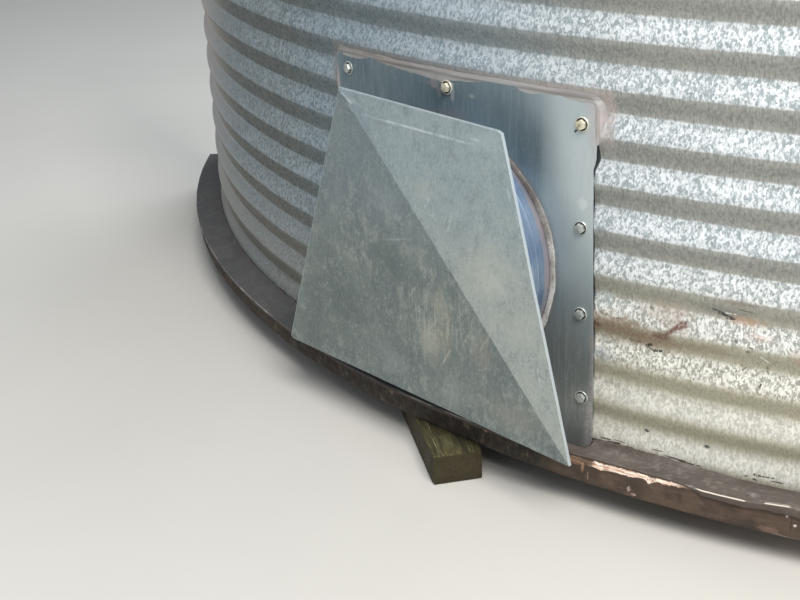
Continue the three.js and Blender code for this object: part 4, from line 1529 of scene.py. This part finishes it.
# The dark band in the corner at the wall: bitumen, and painted shade in the corner.
stained_and_shaded = s.times(s.fade(azimuth, 8.2, 8.8), s.fade(azimuth, 12.2, 10.2))
s.coat("453a35", s.fade(radius, FELT_INNER + 0.03, FELT_INNER + 0.01),
       s.fade(stained_and_shaded, 0.0, 1.0, 0.25, 0.75), s.fade(mottle, 0.3, 0.6, 0.5, 1.0))

# %% [markdown]
# The arris is rubbed pale in stretches, most of all round the lump and at the far right. The
# lip's outer face below it and, over the chewed wood, the torn edge are painted dark, as painted
# shadow lines. Which points lie on the arris is told by how far they face up and how far out
# they are. The lump over the knob gets a paler patch, a painted highlight.

# %% Felt material: rubbed edge, painted shadow lines and a painted highlight
upward = s.parts(s.normal())["Z"]
outer = s.fade(radius, FELT_OUTER - 0.012, FELT_OUTER - 0.007)
# The lip's outer face is painted dark: a painted shadow line under the arris.
s.coat("46392f", s.fade(upward, 0.4, 0.1), outer, 0.6)
on_arris = s.times(s.fade(upward, 0.985, 0.93), s.fade(upward, 0.25, 0.45))
rubbed = s.times(s.fade(azimuth, 14.0, 14.3), s.fade(azimuth, 16.35, 16.15))
for stretch in (s.times(s.fade(azimuth, 17.0, 17.15), s.fade(azimuth, 18.2, 18.0)),
                s.fade(azimuth, -8, -10, 0.0, 0.2), s.fade(brushed, 0.5, 0.7, 0.0, 0.5)):
    rubbed = s.math("MAXIMUM", rubbed, stretch)
unbroken = s.math("MAXIMUM", s.fade(azimuth, 6, 8), s.fade(cloudy, 0.46, 0.56, 0.1, 1.0))
s.coat("e8dccd", on_arris, outer, rubbed, unbroken, 0.9)
# Over the chewed wood the torn edge is painted dark: a painted shadow line.
torn = s.times(s.fade(radius, FELT_OUTER - 0.009, FELT_OUTER - 0.012),
               s.fade(radius, FELT_OUTER - 0.05, FELT_OUTER - 0.04))
s.coat("3b2e25", s.fade(upward, 0.9, 0.5), torn, 0.8)
# A paler patch on the lump over the knob: a painted highlight on the lump.
knob = around(KNOB_AZIMUTH, KNOB_RADIUS * MM, FELT_TOP)
s.coat("948e88", s.patch(knob, (14, 14, 20), 6, 0.7, 0.8), 0.7)
s.done(Roughness=s.fade(cloudy, 0.3, 0.7, 0.62, 0.85), Normal=s.bump(mottle, 0.4, 1.0))
place_piece(felt, s, [f"flashing_{i}" for i in range(1, 4)], crease=50)

# %% [markdown]
# ## Bearers
#
# The deck lies on parallel timbers, and one of them sticks out under the rim. The CAD solid is
# a plain beam. Years of weather have rounded its corners, so the outline has round ones, and
# points along its sides that can move inwards.

# %% Outline of a bearer
BEARER_HEADING = math.radians(56.4)
BEARER_STEP, FEWEST_STEPS = 12 * MM, 12
ALONG = Vector((math.sin(BEARER_HEADING), -math.cos(BEARER_HEADING), 0))
ACROSS = Vector((-ALONG.y, ALONG.x, 0))
UP = Vector((0, 0, 1))
ROUNDING = 5 * MM
END_SHRINK = (2.5 * MM, 0.6 * MM)
WEAR = 1.6 * MM


def beam_outline(low, high, shrink):
    """Outline of a beam, across and up, with round corners and drawn in by shrink."""
    corners = [Vector(c) for c in ((low.x, low.y), (high.x, low.y), (high.x, high.y),
                                   (low.x, high.y))]
    inward = [Vector(c) for c in ((1, 1), (-1, 1), (-1, -1), (1, -1))]
    outline = []
    for side, corner in enumerate(corners):
        for turn in np.linspace(0, math.pi / 2, 4) + math.pi * (1 + side / 2):
            spoke = Vector((math.cos(turn), math.sin(turn))) * (ROUNDING - shrink)
            outline.append(corner + ROUNDING * inward[side] + spoke)
        for share in (0.25, 0.5, 0.75):
            point = corner.lerp(corners[(side + 1) % 4], share)
            outline.append(point + ((low + high) / 2 - point).normalized() * shrink)
    return outline


# %% [markdown]
# The beam's own extent comes from its node's corners, measured along and across its heading.
# It is cut into short lengths, drawn in at both ends, and its sides are worn inwards by noise.

# %% Make the bearers
def beam_from(node, name):
    """A weathered beam over the extent of a CAD beam."""
    corners = [v.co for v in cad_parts[node].data.vertices]
    ends = [[corner.dot(axis) for corner in corners] for axis in (ALONG, ACROSS, UP)]
    low, high = Vector(map(min, ends[1:])), Vector(map(max, ends[1:]))
    start, end = min(ends[0]), max(ends[0])
    steps = max(FEWEST_STEPS, int((end - start) / BEARER_STEP))
    shrinks = np.zeros(steps)
    shrinks[:2], shrinks[-2:] = END_SHRINK, END_SHRINK[::-1]
    outlines = []
    for t, shrink in zip(np.linspace(start, end, steps), shrinks):
        points = np.array([ALONG * t + ACROSS * p.x + UP * p.y
                           for p in beam_outline(low, high, shrink)])
        depth = np.maximum(-drift(points * np.array([1, 1, 2.0]), 0.03, 2), 0) * WEAR
        inward = points.mean(axis=0) - points
        points += inward / np.linalg.norm(inward, axis=1)[:, None] * depth[:, None]
        points[:, 2] = np.maximum(points[:, 2], low.y)
        outlines.append(points)
    return strip(name, outlines)


beams = [beam_from(f"bearer_{i}", f"bearer_beam_{i}") for i in range(1, 6)]

# %% [markdown]
# The beam that shows has bleached to khaki on top and stays dark and mossy at its end. All its
# tones are kept dark as painted shade, the shade under the rim that it lies in. The grain runs
# along the beam, so the place is turned to the beam's heading first.

# %% Bearer material
s = Finish("bearer_timber", Roughness=0.85)
height = s.parts(s.place)["Z"]
turned = s.join(s.vector("DOT_PRODUCT", s.place, tuple(ALONG)),
                s.vector("DOT_PRODUCT", s.place, tuple(ACROSS)), height)
wood = s.group("Timber grain", Along=turned, Fibre=0.0022)
cloudy = s.noise(0.05, detail=5)
# All the tones below are kept dark: painted shade of the rim over the beam.
s.colour = s.mix(s.fade(wood["Grain"], 0.35, 0.65), "2c2614", "41381f")
pale = s.mix(s.fade(wood["Grain"], 0.42, 0.6), "2b2817", "57512f")
pale = s.mix(s.fade(wood["Grain"], 0.56, 0.68, 0.0, 0.7), pale, "a39c78")
s.coat(pale, s.fade(s.parts(s.normal())["Z"], 0.5, 0.9), s.fade(cloudy, 0.2, 0.6))
s.coat("211c11", wood["Split"], 0.8)
s.coat("2a2511", s.fade(height, 0.03, 0.0), 0.6)
s.done(Roughness=s.fade(cloudy, 0.3, 0.7, 0.75, 0.92), Normal=s.bump(wood["Grain"], 0.7, 1.5))
for number, beam in enumerate(beams, 1):
    place_piece(beam, s, [f"bearer_{number}"], crease=60)

# %% [markdown]
# ## Inner angle and hood straps
#
# These solids already have their real shape, so they stay as they are and only get a finish:
# plain galvanised steel with small flakes, dust in the corners and bright worn edges.

# %% Frame steel material
s = Finish("frame_steel", Metallic=0.6, Roughness=0.45)
spangle = s.group("Zinc spangle", Flake_Size=0.006, Upright=1.0, Tilt=0.12)
cloudy = s.noise(0.07, detail=5)
s.colour = s.mix(s.fade(spangle["Flake"], 0.3, 0.7), "7f8687", "a9afae")
s.coat("6b5f4f", s.fade(cloudy, 0.5, 0.7, 0.0, 0.55))
s.coat("c9cdcb", s.group("Worn edges", Grain=0.01)["Mask"], 0.6)
s.done(Roughness=s.fade(cloudy, 0.3, 0.7, 0.38, 0.65), Normal=spangle["Normal"])
kept = [f"foot_angle_{i}" for i in range(1, 4)] + [f"hood_strap_{i}" for i in range(1, 5)]
for node in kept:
    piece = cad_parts[node]
    piece.data.materials.clear()
    piece.data.materials.append(s.material)
print("kept solids:", ", ".join(kept))

# %% [markdown]
# ## Floor
#
# The part stands on a plain pale floor, wide enough to reach past the picture on all sides. It
# belongs to the stage and isn't part of the silo.

# %% Floor
FLOOR_HALF = 18
corners = [[(x, y, 0) for x in (-FLOOR_HALF, FLOOR_HALF)] for y in (-FLOOR_HALF, FLOOR_HALF)]
floor = sheet("floor", np.array(corners, float))
s = Finish("floor_paint", Roughness=0.8)
s.colour = s.mix(s.noise(0.9, detail=6), "cbc8c1", "d6d2cb")
s.done()
floor.data.materials.append(s.material)


# %% [markdown]
# ## Light
#
# A bright soft sky, one large lamp high on the right and a weaker one behind. Steep light
# matters here: it catches every flank that faces up and leaves the flanks that face down in
# shade, which is what makes corrugations readable.

# %% Light
def soft_lamp(name, azimuth, elevation, distance, size, power, colour):
    """A square lamp that looks at the vent, from an azimuth and elevation seen from it."""
    lamp = bpy.data.lights.new(name, "AREA")
    lamp.energy, lamp.size, lamp.color = power, size, colour
    stand = bpy.data.objects.new(name, lamp)
    turn, rise = math.radians(azimuth), math.radians(elevation)
    way = Vector((math.sin(turn) * math.cos(rise), -math.cos(turn) * math.cos(rise),
                  math.sin(rise)))
    stand.location = seen(0, 0, 350) + way * distance
    stand.rotation_euler = way.to_track_quat("Z", "Y").to_euler()
    bpy.context.scene.collection.objects.link(stand)


soft_lamp("key", 58, 52, 6.0, 3.0, 430, (1.0, 0.985, 0.96))
soft_lamp("back", 200, 45, 7.0, 4.0, 160, (0.9, 0.95, 1.0))
world = bpy.data.worlds.new("sky")
bpy.context.scene.world = world
world.use_nodes = True
s = Shader(world.node_tree)
background = world.node_tree.nodes["Background"].inputs
way = s.parts(s.add("TexCoord", {}).outputs["Generated"])["Z"]
s.put(background["Color"], s.mix(s.fade(way, -0.1, 0.5), "b4b6b8", "dfe9f4"))
s.put(background["Strength"], 0.5)
bpy.context.scene.view_settings.view_transform = "Standard"
